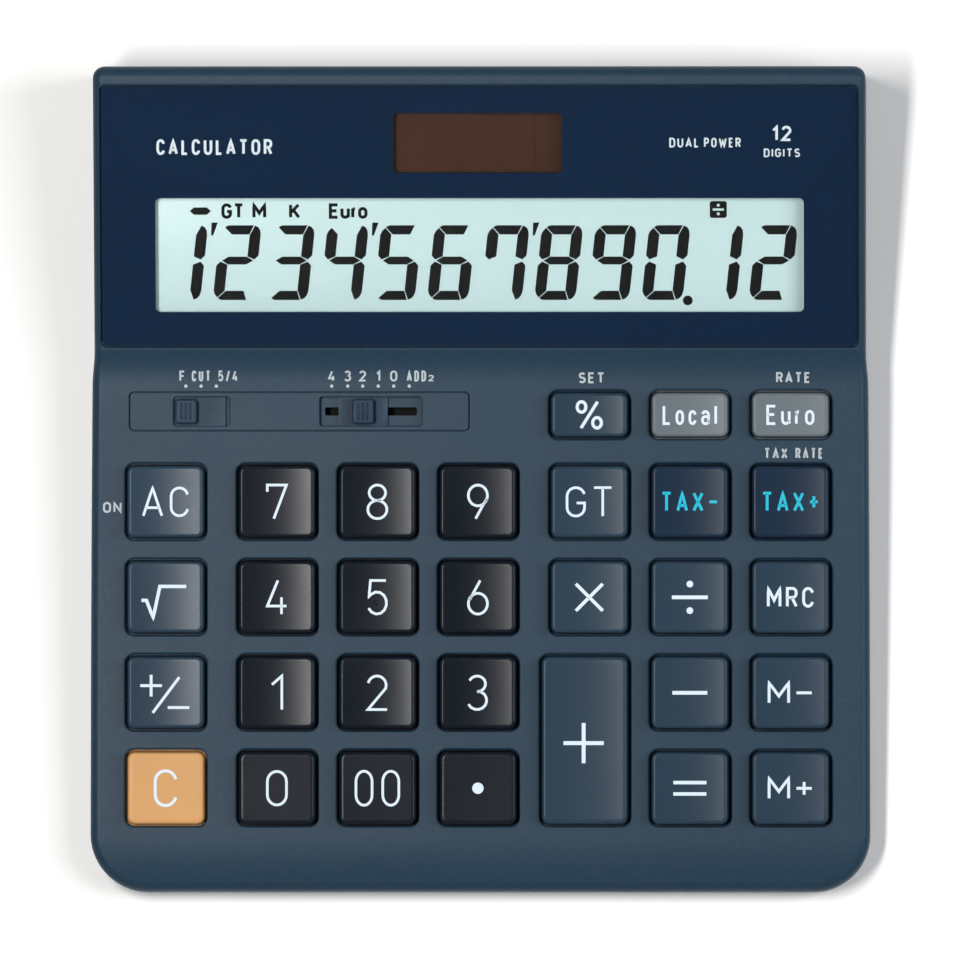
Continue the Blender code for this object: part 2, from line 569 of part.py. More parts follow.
def make_front_cover():
    rings = [
        ring_at(WALL, lambda y: top_height(y) - WALL),
        ring_at(WALL, lambda y: parting_height(y) + FACE_GAP / 2),
        ring_at(0.0, lambda y: parting_height(y) + FACE_GAP / 2),
    ]
    for inset, drop in rounding(EDGE_RADIUS, EDGE_STEPS):
        rings.append(ring_at(inset, lambda y, drop=drop: top_height(y) - drop))
    cover = add_object("front_cover", mesh_from(loft_rings(rings), "front_cover"), "housing")

    shelf_width = CASE_WIDTH - 2 * DISPLAY_INSET - WALL
    shelf = slab(0, WINDOW_CENTRE, shelf_width, WINDOW_LENGTH + WALL, SHELF_BOTTOM, -WALL / 2)
    combine(cover, "UNION", add_helper("shelf", blocks(shelf), display_frame))

    pad_low = SWITCH_FLOOR_TOP - SWITCH_FLOOR
    pad = slab(PLATE_X, SWITCH_Y, PLATE_WIDTH + WALL, PLATE_DEPTH + WALL, pad_low, -WALL / 2)
    combine(cover, "UNION", add_helper("switch_pad", blocks(pad), deck_frame))

    posts = []
    for x, y in CASE_SCREWS.values():
        low = parting_height(y) + FACE_GAP / 2
        posts.append((x, y, SCREW_SHAFT_RADIUS + POST_WALL, low, top_height(y) - WALL / 2))
    combine(cover, "UNION", add_helper("case_posts", rods(*posts)))
    board_posts = [(x, y, POST_RADIUS, BOARD_TOP + FACE_GAP, -WALL / 2) for x, y in BOARD_POSTS]
    combine(cover, "UNION", add_helper("board_posts", rods(*board_posts), deck_frame))

    holes = []
    for x, y in CASE_SCREWS.values():
        top = screw_seat(y) + SCREW_LENGTH + FACE_GAP
        holes.append((x, y, SCREW_SHAFT_RADIUS + FACE_GAP, parting_height(y) - CUT, top))
    pilot = add_helper("case_post_holes", rods(*holes, sides=SMALL_SIDES))
    combine(cover, "DIFFERENCE", pilot)
    board_hole_top = BOARD_BOTTOM - FACE_GAP + BOARD_SCREW_LENGTH + FACE_GAP
    holes = [(x, y, POST_RADIUS / 2, BOARD_TOP, board_hole_top) for x, y in BOARD_POSTS]
    pilot = add_helper("board_post_holes", rods(*holes, sides=SMALL_SIDES), deck_frame)
    combine(cover, "DIFFERENCE", pilot)

    gap = 2 * KEY_CLEARANCE
    apertures = [slab(x, y, w + gap, d + gap, -WALL - CUT, CUT) for _, x, y, w, d, _ in KEYS]
    mesh = blocks(*apertures, corner=KEY_CORNER + KEY_CLEARANCE)
    combine(cover, "DIFFERENCE", add_helper("key_apertures", mesh, deck_frame))

    gap = 2 * FACE_GAP
    recess = slab(0, WINDOW_CENTRE, WINDOW_WIDTH + gap, WINDOW_LENGTH + gap, SHELF_TOP, CUT)
    mesh = blocks(recess, corner=WINDOW_CORNER + FACE_GAP)
    combine(cover, "DIFFERENCE", add_helper("window_recess", mesh, display_frame))
    low, high = SHELF_BOTTOM - CUT, SHELF_TOP + CUT
    mesh = blocks(
        slab(0, LCD_CENTRE, *LCD_OPENING, low, high),
        slab(0, SOLAR_CENTRE, *SOLAR_OPENING, low, high),
        corner=WINDOW_CORNER,
    )
    combine(cover, "DIFFERENCE", add_helper("display_openings", mesh, display_frame))

    seat_bottom = -PLATE_THICKNESS - PLATE_SLACK
    seat = slab(PLATE_X, SWITCH_Y, PLATE_WIDTH + gap, PLATE_DEPTH + gap, seat_bottom, CUT)
    mesh = blocks(seat, corner=PLATE_CORNER + FACE_GAP)
    combine(cover, "DIFFERENCE", add_helper("plate_seat", mesh, deck_frame))
    pocket = slab(
        PLATE_X,
        SWITCH_Y,
        PLATE_WIDTH - 2 * PLATE_LEDGE,
        SLOT_WIDTH + 2 * KEY_CLEARANCE + FACE_GAP,
        SWITCH_FLOOR_TOP,
        seat_bottom + FACE_GAP,
    )
    combine(cover, "DIFFERENCE", add_helper("shutter_pocket", blocks(pocket), deck_frame))
    stems = [
        slab(x, SWITCH_Y, length, SWITCH_STEM + 2 * SLOT_SLACK, low, high)
        for x, length, low, high in slot_blocks(
            SWITCH_STEM, SLOT_SLACK, pad_low - CUT, SWITCH_FLOOR_TOP + FACE_GAP
        )
    ]
    combine(cover, "DIFFERENCE", add_helper("stem_slots", blocks(*stems), deck_frame))


def make_rear_cover():
    rings = [
        ring_at(WALL, lambda y: FOOT_STAND + FLOOR),
        ring_at(WALL, lambda y: parting_height(y) - FACE_GAP / 2),
        ring_at(0.0, lambda y: parting_height(y) - FACE_GAP / 2),
    ]
    for inset, drop in rounding(BOTTOM_RADIUS, EDGE_STEPS):
        rings.append(ring_at(inset, lambda y, drop=drop: FOOT_STAND + drop))
    cover = add_object("rear_cover", mesh_from(loft_rings(rings), "rear_cover"), "rear_housing")

    bore = SCREW_HEAD_RADIUS + FACE_GAP
    bosses = []
    for x, y in CASE_SCREWS.values():
        top = parting_height(y) - FACE_GAP / 2
        bosses.append((x, y, bore + BOSS_WALL, FOOT_STAND + FLOOR / 2, top))
    combine(cover, "UNION", add_helper("case_bosses", rods(*bosses)))

    hatch_width, hatch_depth, _ = HATCH_SIZE
    well_width = hatch_width - 2 * HATCH_LEDGE
    well_depth = hatch_depth - 2 * HATCH_LEDGE
    well_top = FOOT_STAND + WELL_HEIGHT
    lip = 2 * (WELL_WALL + FACE_GAP)
    well = slab(
        HATCH_CENTRE_X,
        HATCH_Y,
        hatch_width + lip,
        hatch_depth + lip,
        FOOT_STAND + FLOOR / 2,
        well_top + WELL_WALL,
    )
    combine(cover, "UNION", add_helper("battery_well", blocks(well)))

    cuts = []
    for x, y in CASE_SCREWS.values():
        cuts.append((x, y, bore, FOOT_STAND - CUT, screw_seat(y)))
    combine(cover, "DIFFERENCE", add_helper("screw_counterbores", rods(*cuts)))
    cuts = []
    for x, y in CASE_SCREWS.values():
        top = parting_height(y) + CUT
        cuts.append((x, y, SCREW_SHAFT_RADIUS + FACE_GAP, screw_seat(y) - CUT, top))
    mesh = rods(*cuts, sides=SMALL_SIDES)
    combine(cover, "DIFFERENCE", add_helper("screw_holes", mesh))

    recess_top = FOOT_THICKNESS + FACE_GAP
    cuts = [
        (x, y, FOOT_RADIUS + FACE_GAP, FOOT_STAND - CUT, recess_top) for x, y in FEET.values()
    ]
    combine(cover, "DIFFERENCE", add_helper("foot_recesses", rods(*cuts)))

    gap = 2 * FACE_GAP
    seat = slab(
        HATCH_CENTRE_X,
        HATCH_Y,
        hatch_width + gap,
        hatch_depth + gap,
        FOOT_STAND - CUT,
        HATCH_TOP + FACE_GAP,
    )
    mesh = blocks(seat, corner=HATCH_CORNER + FACE_GAP)
    combine(cover, "DIFFERENCE", add_helper("hatch_seat", mesh))
    inside = slab(HATCH_CENTRE_X, HATCH_Y, well_width, well_depth, HATCH_TOP, well_top)
    combine(cover, "DIFFERENCE", add_helper("well_inside", blocks(inside)))
    x = HATCH_CENTRE_X + HATCH_SCREW_OFFSET
    low = HATCH_TOP + 2 * FACE_GAP + HATCH_SCREW_HEAD_RADIUS / 2
    post = (x, HATCH_Y, HATCH_SCREW_SHAFT_RADIUS + POST_WALL, low, well_top + WELL_WALL / 2)
    combine(cover, "UNION", add_helper("hatch_post", rods(post)))
    hole = (x, HATCH_Y, HATCH_SCREW_SHAFT_RADIUS + FACE_GAP, low - CUT, well_top - FACE_GAP)
    combine(cover, "DIFFERENCE", add_helper("hatch_post_hole", rods(hole, sides=SMALL_SIDES)))


FEET = {
    f"foot_{end}_{side}": (x_sign * (HALF_WIDTH - FOOT_SIDE), y_sign * (REAR_Y - FOOT_END))
    for end, y_sign in (("front", -1), ("rear", 1))
    for side, x_sign in (("left", -1), ("right", 1))
}


def make_feet():
    mesh = turned(
        [
            (0.0, FOOT_THICKNESS),
            (FOOT_RADIUS, FOOT_THICKNESS),
            (FOOT_RADIUS, FOOT_CHAMFER),
            (FOOT_RADIUS - FOOT_CHAMFER, 0.0),
            (0.0, 0.0),
        ]
    )
    for name, (x, y) in FEET.items():
        add_object(name, mesh, "rubber", location=(x, y, 0.0))


def screw_mesh(head_radius, head_height, shaft_radius, length):
    """A screw with its head down: the head's bearing face is at z 0 and the shaft points up."""
    return turned(
        [
            (0.0, length),
            (shaft_radius * 0.6, length),
            (shaft_radius, length - shaft_radius),
            (shaft_radius, 0.0),
            (head_radius, 0.0),
            (head_radius, -head_height * 0.6),
            (head_radius * 0.7, -head_height),
            (0.0, -head_height),
        ],
        SMALL_SIDES + 4,
    )


def make_screws():
    mesh = screw_mesh(SCREW_HEAD_RADIUS, SCREW_HEAD, SCREW_SHAFT_RADIUS, SCREW_LENGTH - FACE_GAP)
    for name, (x, y) in CASE_SCREWS.items():
        add_object(name, mesh, "steel", location=(x, y, screw_seat(y) - FACE_GAP))
    shaft_radius = POST_RADIUS / 2 - FACE_GAP
    mesh = screw_mesh(POST_RADIUS, BOARD_SCREW_HEAD, shaft_radius, BOARD_SCREW_LENGTH)
    for name, (x, y) in zip(("board_screw_left", "board_screw_right"), BOARD_POSTS):
        place = (x, y, BOARD_BOTTOM - FACE_GAP)
        add_object(name, mesh, "steel", deck_frame, place)


# ---- keys, mat and board ----


def key_mesh(width, depth):
    """A hollow keycap on its flange, dished across the top, with a stem to press the mat."""
    body_low = FLANGE_TOP - FLANGE_THICKNESS / 2
    shape = bmesh.new()
    centre, size = slab(0, 0, width, depth, body_low, KEY_RISE)
    place = Matrix.Translation(centre) @ Matrix.Diagonal((*size, 1.0))
    bmesh.ops.create_cube(shape, size=1.0, matrix=place)
    upright = [e for e in shape.edges if (e.verts[0].co - e.verts[1].co).xy.length < 1e-7]
    bmesh.ops.bevel(
        shape, geom=upright, offset=KEY_CORNER, segments=2, profile=0.5, affect="EDGES"
    )
    dish_strips = 4
    for cut in range(1, dish_strips):
        x = (width - 2 * KEY_CORNER) * (cut / dish_strips - 0.5)
        geometry = [*shape.verts, *shape.edges, *shape.faces]
        bmesh.ops.bisect_plane(shape, geom=geometry, plane_co=(x, 0, 0), plane_no=(1, 0, 0))
    for vert in shape.verts:
        if vert.co.z < 0:
            continue
        across = vert.co.x / (width / 2)
        vert.co.x *= 1 - 2 * KEY_DRAFT / width
        vert.co.y *= 1 - 2 * KEY_DRAFT / depth
        vert.co.z -= KEY_DISH * (1 - across**2)
    cap = add_helper("key_body", mesh_from(shape, "key"))

    reach = 2 * FLANGE_REACH
    flange = slab(0, 0, width + reach, depth + reach, FLANGE_BOTTOM, FLANGE_TOP)
    flange_mesh = blocks(flange, corner=KEY_CORNER + FLANGE_REACH, steps=1)
    combine(cap, "UNION", add_helper("key_flange", flange_mesh))
    roof = KEY_RISE - KEY_DISH - KEY_WALL
    inner_width = width - 2 * (KEY_WALL + KEY_DRAFT)
    inner_depth = depth - 2 * (KEY_WALL + KEY_DRAFT)
    hollow = slab(0, 0, inner_width, inner_depth, FLANGE_BOTTOM - CUT, roof)
    combine(cap, "DIFFERENCE", add_helper("key_hollow", blocks(hollow)))
    stems = [
        (0.0, y, STEM_RADIUS, STEM_BOTTOM, roof + KEY_WALL / 2) for y in stem_places(depth)
    ]
    combine(cap, "UNION", add_helper("key_stem", rods(*stems, sides=SMALL_SIDES)))
    mesh = baked_mesh(cap)
    mesh.materials.clear()
    return mesh


def stem_places(depth):
    """A key's stems along its depth: one in the middle, or two on a key two rows deep."""
    if depth > 1.5 * KEY_DEPTH:
        return [-ROW_PITCH / 2, ROW_PITCH / 2]
    return [0.0]


def make_keys():
    meshes = {}
    for name, x, y, width, depth, finish in KEYS:
        kind = (width, depth, finish)
        if kind not in meshes:
            meshes[kind] = key_mesh(width, depth)
        add_object(name, meshes[kind], finish, deck_frame, (x, y, 0.0))


def make_key_mat():
    edge = DOME_BASE_RADIUS + MAT_EDGE
    left, right = LEFT_X - edge, RIGHT_X[2] + edge
    front, rear = ROW_Y[3] - edge - MAT_END, ROW_Y[0] + edge + MAT_END
    low = MAT_TOP - MAT_THICKNESS
    field = slab((left + right) / 2, (front + rear) / 2, right - left, rear - front, low, MAT_TOP)
    mat = add_object("key_mat", blocks(field, corner=BOARD_CORNER), "silicone", deck_frame)
    top_left, top_rear = RIGHT_X[0] - edge, TOP_ROW_Y + edge
    top_front = ROW_Y[0]
    arm = slab(
        (top_left + right) / 2,
        (top_front + top_rear) / 2,
        right - top_left,
        top_rear - top_front,
        low,
        MAT_TOP,
    )
    combine(mat, "UNION", add_helper("mat_arm", blocks(arm), deck_frame))

    domes, hollows = bmesh.new(), bmesh.new()
    for _, x, y, _, depth, _ in KEYS:
        for stem_y in stem_places(depth):
            middle = (low + DOME_TOP) / 2 + MAT_THICKNESS / 4
            bmesh.ops.create_cone(
                domes,
                cap_ends=True,
                segments=SMALL_SIDES,
                radius1=DOME_BASE_RADIUS,
                radius2=DOME_TOP_RADIUS,
                depth=2 * (DOME_TOP - middle),
                matrix=Matrix.Translation((x, y + stem_y, middle)),
            )
            bmesh.ops.create_cone(
                hollows,
                cap_ends=True,
                segments=SMALL_SIDES,
                radius1=DOME_BASE_RADIUS - DOME_SKIN,
                radius2=DOME_TOP_RADIUS - DOME_SKIN,
                depth=DOME_TOP - low - DOME_SKIN + CUT,
                matrix=Matrix.Translation((x, y + stem_y, (DOME_TOP + low - DOME_SKIN - CUT) / 2)),
            )
    combine(mat, "UNION", add_helper("mat_domes", mesh_from(domes, "domes"), deck_frame))
    combine(mat, "DIFFERENCE", add_helper("mat_hollows", mesh_from(hollows, "hollows"), deck_frame))
    holes = [(x, y, POST_RADIUS + FACE_GAP, low - CUT, MAT_TOP + CUT) for x, y in BOARD_POSTS]
    combine(mat, "DIFFERENCE", add_helper("mat_post_holes", rods(*holes), deck_frame))


def make_board():
    left, right = LEFT_X - BOARD_EDGE, RIGHT_X[2] + BOARD_EDGE
    front, rear = ROW_Y[3] - KEY_DEPTH / 2, RAMP_Y + BOARD_TAIL
    field = slab(
        (left + right) / 2,
        (front + rear) / 2,
        right - left,
        rear - front,
        BOARD_BOTTOM,
        BOARD_TOP,
    )
    mesh = blocks(field, corner=BOARD_CORNER)
    board = add_object("main_board", mesh, "circuit_board", deck_frame)
    holes = [
        (x, y, POST_RADIUS / 2, BOARD_BOTTOM - CUT, BOARD_TOP + CUT) for x, y in BOARD_POSTS
    ]
    mesh = rods(*holes, sides=SMALL_SIDES)
    combine(board, "DIFFERENCE", add_helper("board_holes", mesh, deck_frame))

    mesh = turned(
        [
            (0.0, 0.0),
            (CHIP_RADIUS, 0.0),
            (CHIP_RADIUS * 0.9, -CHIP_HEIGHT * 0.6),
            (CHIP_RADIUS * 0.5, -CHIP_HEIGHT),
            (0.0, -CHIP_HEIGHT),
        ]
    )
    place = (RIGHT_X[0], ROW_Y[0], BOARD_BOTTOM - FACE_GAP)
    add_object("controller_chip", mesh, "epoxy", deck_frame, place)


def make_switches():
    plate = slab(PLATE_X, SWITCH_Y, PLATE_WIDTH, PLATE_DEPTH, -PLATE_THICKNESS, 0.0)
    plate = add_object("switch_plate", blocks(plate, corner=PLATE_CORNER), "housing", deck_frame)
    slots = [
        slab(x, SWITCH_Y, length, SLOT_WIDTH, low, high)
        for x, length, low, high in slot_blocks(
            KNOB_SIZE[0], SLOT_SLACK, -PLATE_THICKNESS - CUT, CUT
        )
    ]
    mesh = blocks(*slots, corner=SLOT_CORNER, steps=1)
    combine(plate, "DIFFERENCE", add_helper("plate_slots", mesh, deck_frame))

    for label, (first, _, rest, shutter) in SWITCHES.items():
        place = (first + rest * SLOT_STEP, SWITCH_Y, 0.0)
        shutter_low = SHUTTER_TOP - SHUTTER_THICKNESS
        shutter_middle = (SHUTTER_TOP + shutter_low) / 2
        cap = blocks(slab(0, 0, *KNOB_SIZE, shutter_middle, KNOB_RISE), corner=KNOB_CORNER)
        knob = add_object(f"{label}_knob", cap, "switch_plastic", deck_frame, place)
        depth = SLOT_WIDTH + 2 * KEY_CLEARANCE
        leaf = blocks(slab(0, 0, shutter, depth - FACE_GAP, shutter_low, SHUTTER_TOP))
        combine(knob, "UNION", add_helper(f"{label}_shutter", leaf, deck_frame, place))
        stem = slab(0, 0, SWITCH_STEM, SWITCH_STEM, SWITCH_STEM_BOTTOM, shutter_middle)
        combine(knob, "UNION", add_helper(f"{label}_stem", blocks(stem), deck_frame, place))

        tip = BOARD_TOP + FACE_GAP + WIPER_THICKNESS
        crown = SWITCH_STEM_BOTTOM - FACE_GAP - WIPER_THICKNESS
        path = [
            (-WIPER_HALF_LENGTH, tip + WIPER_CURL),
            (-WIPER_HALF_LENGTH * 0.75, tip),
            (-WIPER_HALF_LENGTH * 0.3, crown),
            (WIPER_HALF_LENGTH * 0.3, crown),
            (WIPER_HALF_LENGTH * 0.75, tip),
            (WIPER_HALF_LENGTH, tip + WIPER_CURL),
        ]
        wiper = add_object(
            f"{label}_wiper", strip(path, WIPER_WIDTH, WIPER_THICKNESS), "brass", deck_frame, place
        )
        wiper.rotation_euler = (0.0, 0.0, math.pi / 2)


# ---- display ----


def make_display():
    window = slab(0, WINDOW_CENTRE, WINDOW_WIDTH, WINDOW_LENGTH, WINDOW_BOTTOM, -WINDOW_SINK)
    mesh = blocks(window, corner=WINDOW_CORNER)
    add_object("display_window", mesh, "window", display_frame)
    width, depth = LCD_SIZE
    mesh = blocks(slab(0, LCD_CENTRE, width, depth, LCD_BOTTOM, LCD_TOP))
    add_object("lcd_panel", mesh, "lcd", display_frame)
    solar_width, solar_depth = SOLAR_SIZE
    solar_low = LCD_TOP - SOLAR_THICKNESS
    mesh = blocks(slab(0, SOLAR_CENTRE, solar_width, solar_depth, solar_low, LCD_TOP))
    add_object("solar_cell", mesh, "solar", display_frame)

    rear_of_lcd = LCD_CENTRE + depth / 2
    front = LCD_CENTRE - depth / 2 - BRACKET_EDGE / 2
    tray = slab(
        0,
        (front + rear_of_lcd + BRACKET_EDGE) / 2,
        width + 2 * BRACKET_EDGE,
        rear_of_lcd + BRACKET_EDGE - front,
        BRACKET_BOTTOM,
        BRACKET_TOP,
    )
    mesh = blocks(tray, corner=BRACKET_CORNER)
    bracket = add_object("display_bracket", mesh, "white_plastic", display_frame)
    pad_front, pad_rear = rear_of_lcd + FACE_GAP, SOLAR_CENTRE + solar_depth / 2 + BRACKET_EDGE
    pad = slab(
        0,
        (pad_front + pad_rear) / 2,
        solar_width + 2 * BRACKET_EDGE,
        pad_rear - pad_front,
        BRACKET_BOTTOM,
        solar_low - FACE_GAP,
    )
    combine(bracket, "UNION", add_helper("solar_pad", blocks(pad), display_frame))

    def display_point(up, out):
        y = DISPLAY_Y + up * math.cos(DISPLAY_TILT) - out * math.sin(DISPLAY_TILT)
        return y, RAMP_TOP_HEIGHT + up * math.sin(DISPLAY_TILT) + out * math.cos(DISPLAY_TILT)

    def board_point(y):
        lift = BOARD_TOP + FACE_GAP + RIBBON_THICKNESS / 2
        return y, top_height(y) + lift / math.cos(DECK_SLOPE)

    lcd_end = display_point(LCD_CENTRE - depth / 2 - 2 * FACE_GAP, (LCD_TOP + LCD_BOTTOM) / 2)
    board_end, board_lift = board_point(RAMP_Y - RIBBON_END), board_point(RAMP_Y)
    sag = (lcd_end[0] * 0.6 + board_lift[0] * 0.4, lcd_end[1] * 0.45 + board_lift[1] * 0.55)
    path = [board_end, board_lift, sag, lcd_end]
    place = (RIBBON_CENTRE, 0.0, 0.0)
    add_object("lcd_ribbon", strip(path, RIBBON_WIDTH, RIBBON_THICKNESS), "ribbon", None, place)


# ---- battery ----


def make_battery():
    screw_x = HATCH_CENTRE_X + HATCH_SCREW_OFFSET
    hatch = slab(HATCH_CENTRE_X, HATCH_Y, *HATCH_SIZE[:2], FOOT_STAND, HATCH_TOP)
    cover = add_object("battery_cover", blocks(hatch, corner=HATCH_CORNER), "rear_housing")
    boss_top = HATCH_TOP + HATCH_SCREW_HEAD_RADIUS / 2
    boss_radius = HATCH_SCREW_HEAD_RADIUS + FACE_GAP + BOSS_WALL
    boss = (screw_x, HATCH_Y, boss_radius, FOOT_STAND + HATCH_SIZE[2] / 2, boss_top)
    combine(cover, "UNION", add_helper("hatch_boss", rods(boss)))
    seat = boss_top - HATCH_SCREW_HEAD
    bore = (screw_x, HATCH_Y, HATCH_SCREW_HEAD_RADIUS + FACE_GAP, FOOT_STAND - CUT, seat)
    combine(cover, "DIFFERENCE", add_helper("hatch_bore", rods(bore)))
    radius = HATCH_SCREW_SHAFT_RADIUS + FACE_GAP
    hole = (screw_x, HATCH_Y, radius, FOOT_STAND, boss_top + CUT)
    combine(cover, "DIFFERENCE", add_helper("hatch_hole", rods(hole, sides=SMALL_SIDES)))
    mesh = screw_mesh(
        HATCH_SCREW_HEAD_RADIUS, HATCH_SCREW_HEAD, HATCH_SCREW_SHAFT_RADIUS, HATCH_SCREW_LENGTH
    )
    place = (screw_x, HATCH_Y, seat - FACE_GAP)
    add_object("battery_cover_screw", mesh, "steel", location=place)

    cell_x = HATCH_CENTRE_X + CELL_OFFSET
    mesh = turned(
        [
            (0.0, CELL_HEIGHT),
            (CELL_RADIUS - 2 * CELL_RIM, CELL_HEIGHT),
            (CELL_RADIUS - 2 * CELL_RIM, CELL_HEIGHT - CELL_RIM),
            (CELL_RADIUS, CELL_HEIGHT - 2 * CELL_RIM),
            (CELL_RADIUS, 0.0),
            (0.0, 0.0),
        ]
    )
    cell_low = HATCH_TOP + FACE_GAP
    add_object("battery_cell", mesh, "cell_steel", location=(cell_x, HATCH_Y, cell_low))

    ceiling = FOOT_STAND + WELL_HEIGHT - FACE_GAP - CONTACT_THICKNESS / 2
    cell_top = cell_low + CELL_HEIGHT + FACE_GAP + CONTACT_THICKNESS / 2
    path = [
        (-CELL_RADIUS * 0.9, ceiling),
        (-CELL_RADIUS * 0.5, ceiling),
        (0.0, cell_top),
        (CELL_RADIUS * 0.4, cell_top + CONTACT_CURL),
    ]
    mesh = strip(path, CONTACT_WIDTH, CONTACT_THICKNESS)
    add_object("battery_contact_negative", mesh, "brass", location=(cell_x, HATCH_Y, 0.0))
    side = CELL_RADIUS + FACE_GAP + CONTACT_THICKNESS / 2
    path = [
        (side + 1.5 * CONTACT_CURL, cell_low + 2 * CONTACT_CURL),
        (side, cell_low + CONTACT_TAB),
        (side + CONTACT_CURL / 2, ceiling),
        (side - CONTACT_TAB, ceiling),
    ]
    mesh = strip(path, CONTACT_WIDTH, CONTACT_THICKNESS)
    contact = add_object(
        "battery_contact_positive", mesh, "brass", location=(cell_x, HATCH_Y, 0.0)
    )
    contact.rotation_euler = (0.0, 0.0, -math.pi / 2)


clear_scene()
parts = make_collection("desk_calculator")
cutters = make_collection("cutters")
materials = {name: make_material(name) for name in FINISHES}
deck_frame = add_frame("deck_frame", (0.0, 0.0, DECK_FRONT_HEIGHT - FRONT_Y * DECK_RISE), DECK_SLOPE)
display_frame = add_frame("display_frame", (0.0, DISPLAY_Y, RAMP_TOP_HEIGHT), DISPLAY_TILT)
bpy.context.view_layer.update()
make_front_cover()
make_rear_cover()
make_feet()
make_screws()
make_keys()
make_key_mat()
make_board()
make_switches()
make_display()
make_battery()
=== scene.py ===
import json
import math

import bmesh
import bpy
from mathutils import Matrix, Vector


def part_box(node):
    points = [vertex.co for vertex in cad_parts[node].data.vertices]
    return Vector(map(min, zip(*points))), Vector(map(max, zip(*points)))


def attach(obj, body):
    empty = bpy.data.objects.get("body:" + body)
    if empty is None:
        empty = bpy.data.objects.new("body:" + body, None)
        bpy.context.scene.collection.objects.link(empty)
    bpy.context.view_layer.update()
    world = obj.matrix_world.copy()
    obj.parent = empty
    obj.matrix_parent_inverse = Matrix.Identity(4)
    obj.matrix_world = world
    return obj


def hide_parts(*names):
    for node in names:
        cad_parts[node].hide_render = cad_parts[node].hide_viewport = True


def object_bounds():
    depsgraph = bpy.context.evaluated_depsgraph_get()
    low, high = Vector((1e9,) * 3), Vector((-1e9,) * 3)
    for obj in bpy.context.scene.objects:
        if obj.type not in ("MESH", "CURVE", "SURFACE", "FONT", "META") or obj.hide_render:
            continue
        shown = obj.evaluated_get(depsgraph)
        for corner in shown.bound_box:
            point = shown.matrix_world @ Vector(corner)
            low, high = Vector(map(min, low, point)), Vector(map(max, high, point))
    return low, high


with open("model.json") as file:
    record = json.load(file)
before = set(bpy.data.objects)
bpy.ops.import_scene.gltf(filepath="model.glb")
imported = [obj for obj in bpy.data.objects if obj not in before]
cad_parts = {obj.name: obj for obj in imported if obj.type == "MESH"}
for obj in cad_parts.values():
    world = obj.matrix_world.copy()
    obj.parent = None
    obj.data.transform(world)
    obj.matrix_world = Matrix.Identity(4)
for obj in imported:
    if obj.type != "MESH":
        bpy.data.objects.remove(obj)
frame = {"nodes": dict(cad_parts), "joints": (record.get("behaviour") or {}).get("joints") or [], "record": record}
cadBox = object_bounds()
mm = 0.001
scene = bpy.context.scene


# Camera, light and floor. The camera looks down from just in front of the case, a little to its right.
studio = {
    "cameraLean": (1.2, 2.5),  # degrees off the vertical, to the right and to the front
    "cameraDistance": 5.0,
    "viewWidth": 185.8 * mm,
    "sensor": 36.0,
    "floorSize": 6.0,
    "world": (0.05, 0.052, 0.055),
    # name: place, size, watts, colour
    "lights": {
        "softboxLeft": ((-0.25, 0.02, 0.95), (0.40, 0.09), 7.5, (1.0, 0.985, 0.96)),
        "softboxRight": ((0.85, 0.05, 1.00), (0.5, 0.9), 9.0, (0.97, 0.98, 1.0)),
        "softboxFront": ((0.1, -1.35, 0.75), (1.4, 0.5), 1.5, (1.0, 1.0, 1.0)),
        "softboxRear": ((0.15, 1.00, 0.85), (1.2, 0.5), 1.0, (1.0, 1.0, 1.0)),
    },
}


def put(tree, kind, *values, **settings):
    # adds a node; each value is a plain value or another node's output, in the order of the inputs
    node = tree.nodes.new(kind)
    for key, value in settings.items():
        setattr(node, key, value)
    for socket, value in zip(node.inputs, values):
        if isinstance(value, bpy.types.NodeSocket):
            tree.links.new(value, socket)
        elif value is not None:
            socket.default_value = value
    return node


def sums(tree, operation, *values):
    return put(tree, "ShaderNodeMath", *values, operation=operation).outputs[0]


def vectors(tree, operation, *values):
    return put(tree, "ShaderNodeVectorMath", *values, operation=operation).outputs[0]


def scaled(tree, vector, factor):
    return vectors(tree, "SCALE", vector, None, None, factor)


def joinXyz(tree, x, y, z):
    return put(tree, "ShaderNodeCombineXYZ", x, y, z).outputs[0]


def splitXyz(tree, vector):
    return put(tree, "ShaderNodeSeparateXYZ", vector).outputs


def clamped(tree, value, *limits):
    # maps a value from one range to another: from low, from high, to low, to high
    return put(tree, "ShaderNodeMapRange", value, *limits).outputs[0]


def mixColours(tree, factor, first, second, blend="MIX"):
    node = put(tree, "ShaderNodeMix", factor, data_type="RGBA", blend_type=blend)
    for socket, value in zip(node.inputs[6:8], (first, second)):
        if isinstance(value, bpy.types.NodeSocket):
            tree.links.new(value, socket)
        else:
            socket.default_value = (*value, 1.0)
    return node.outputs[2]


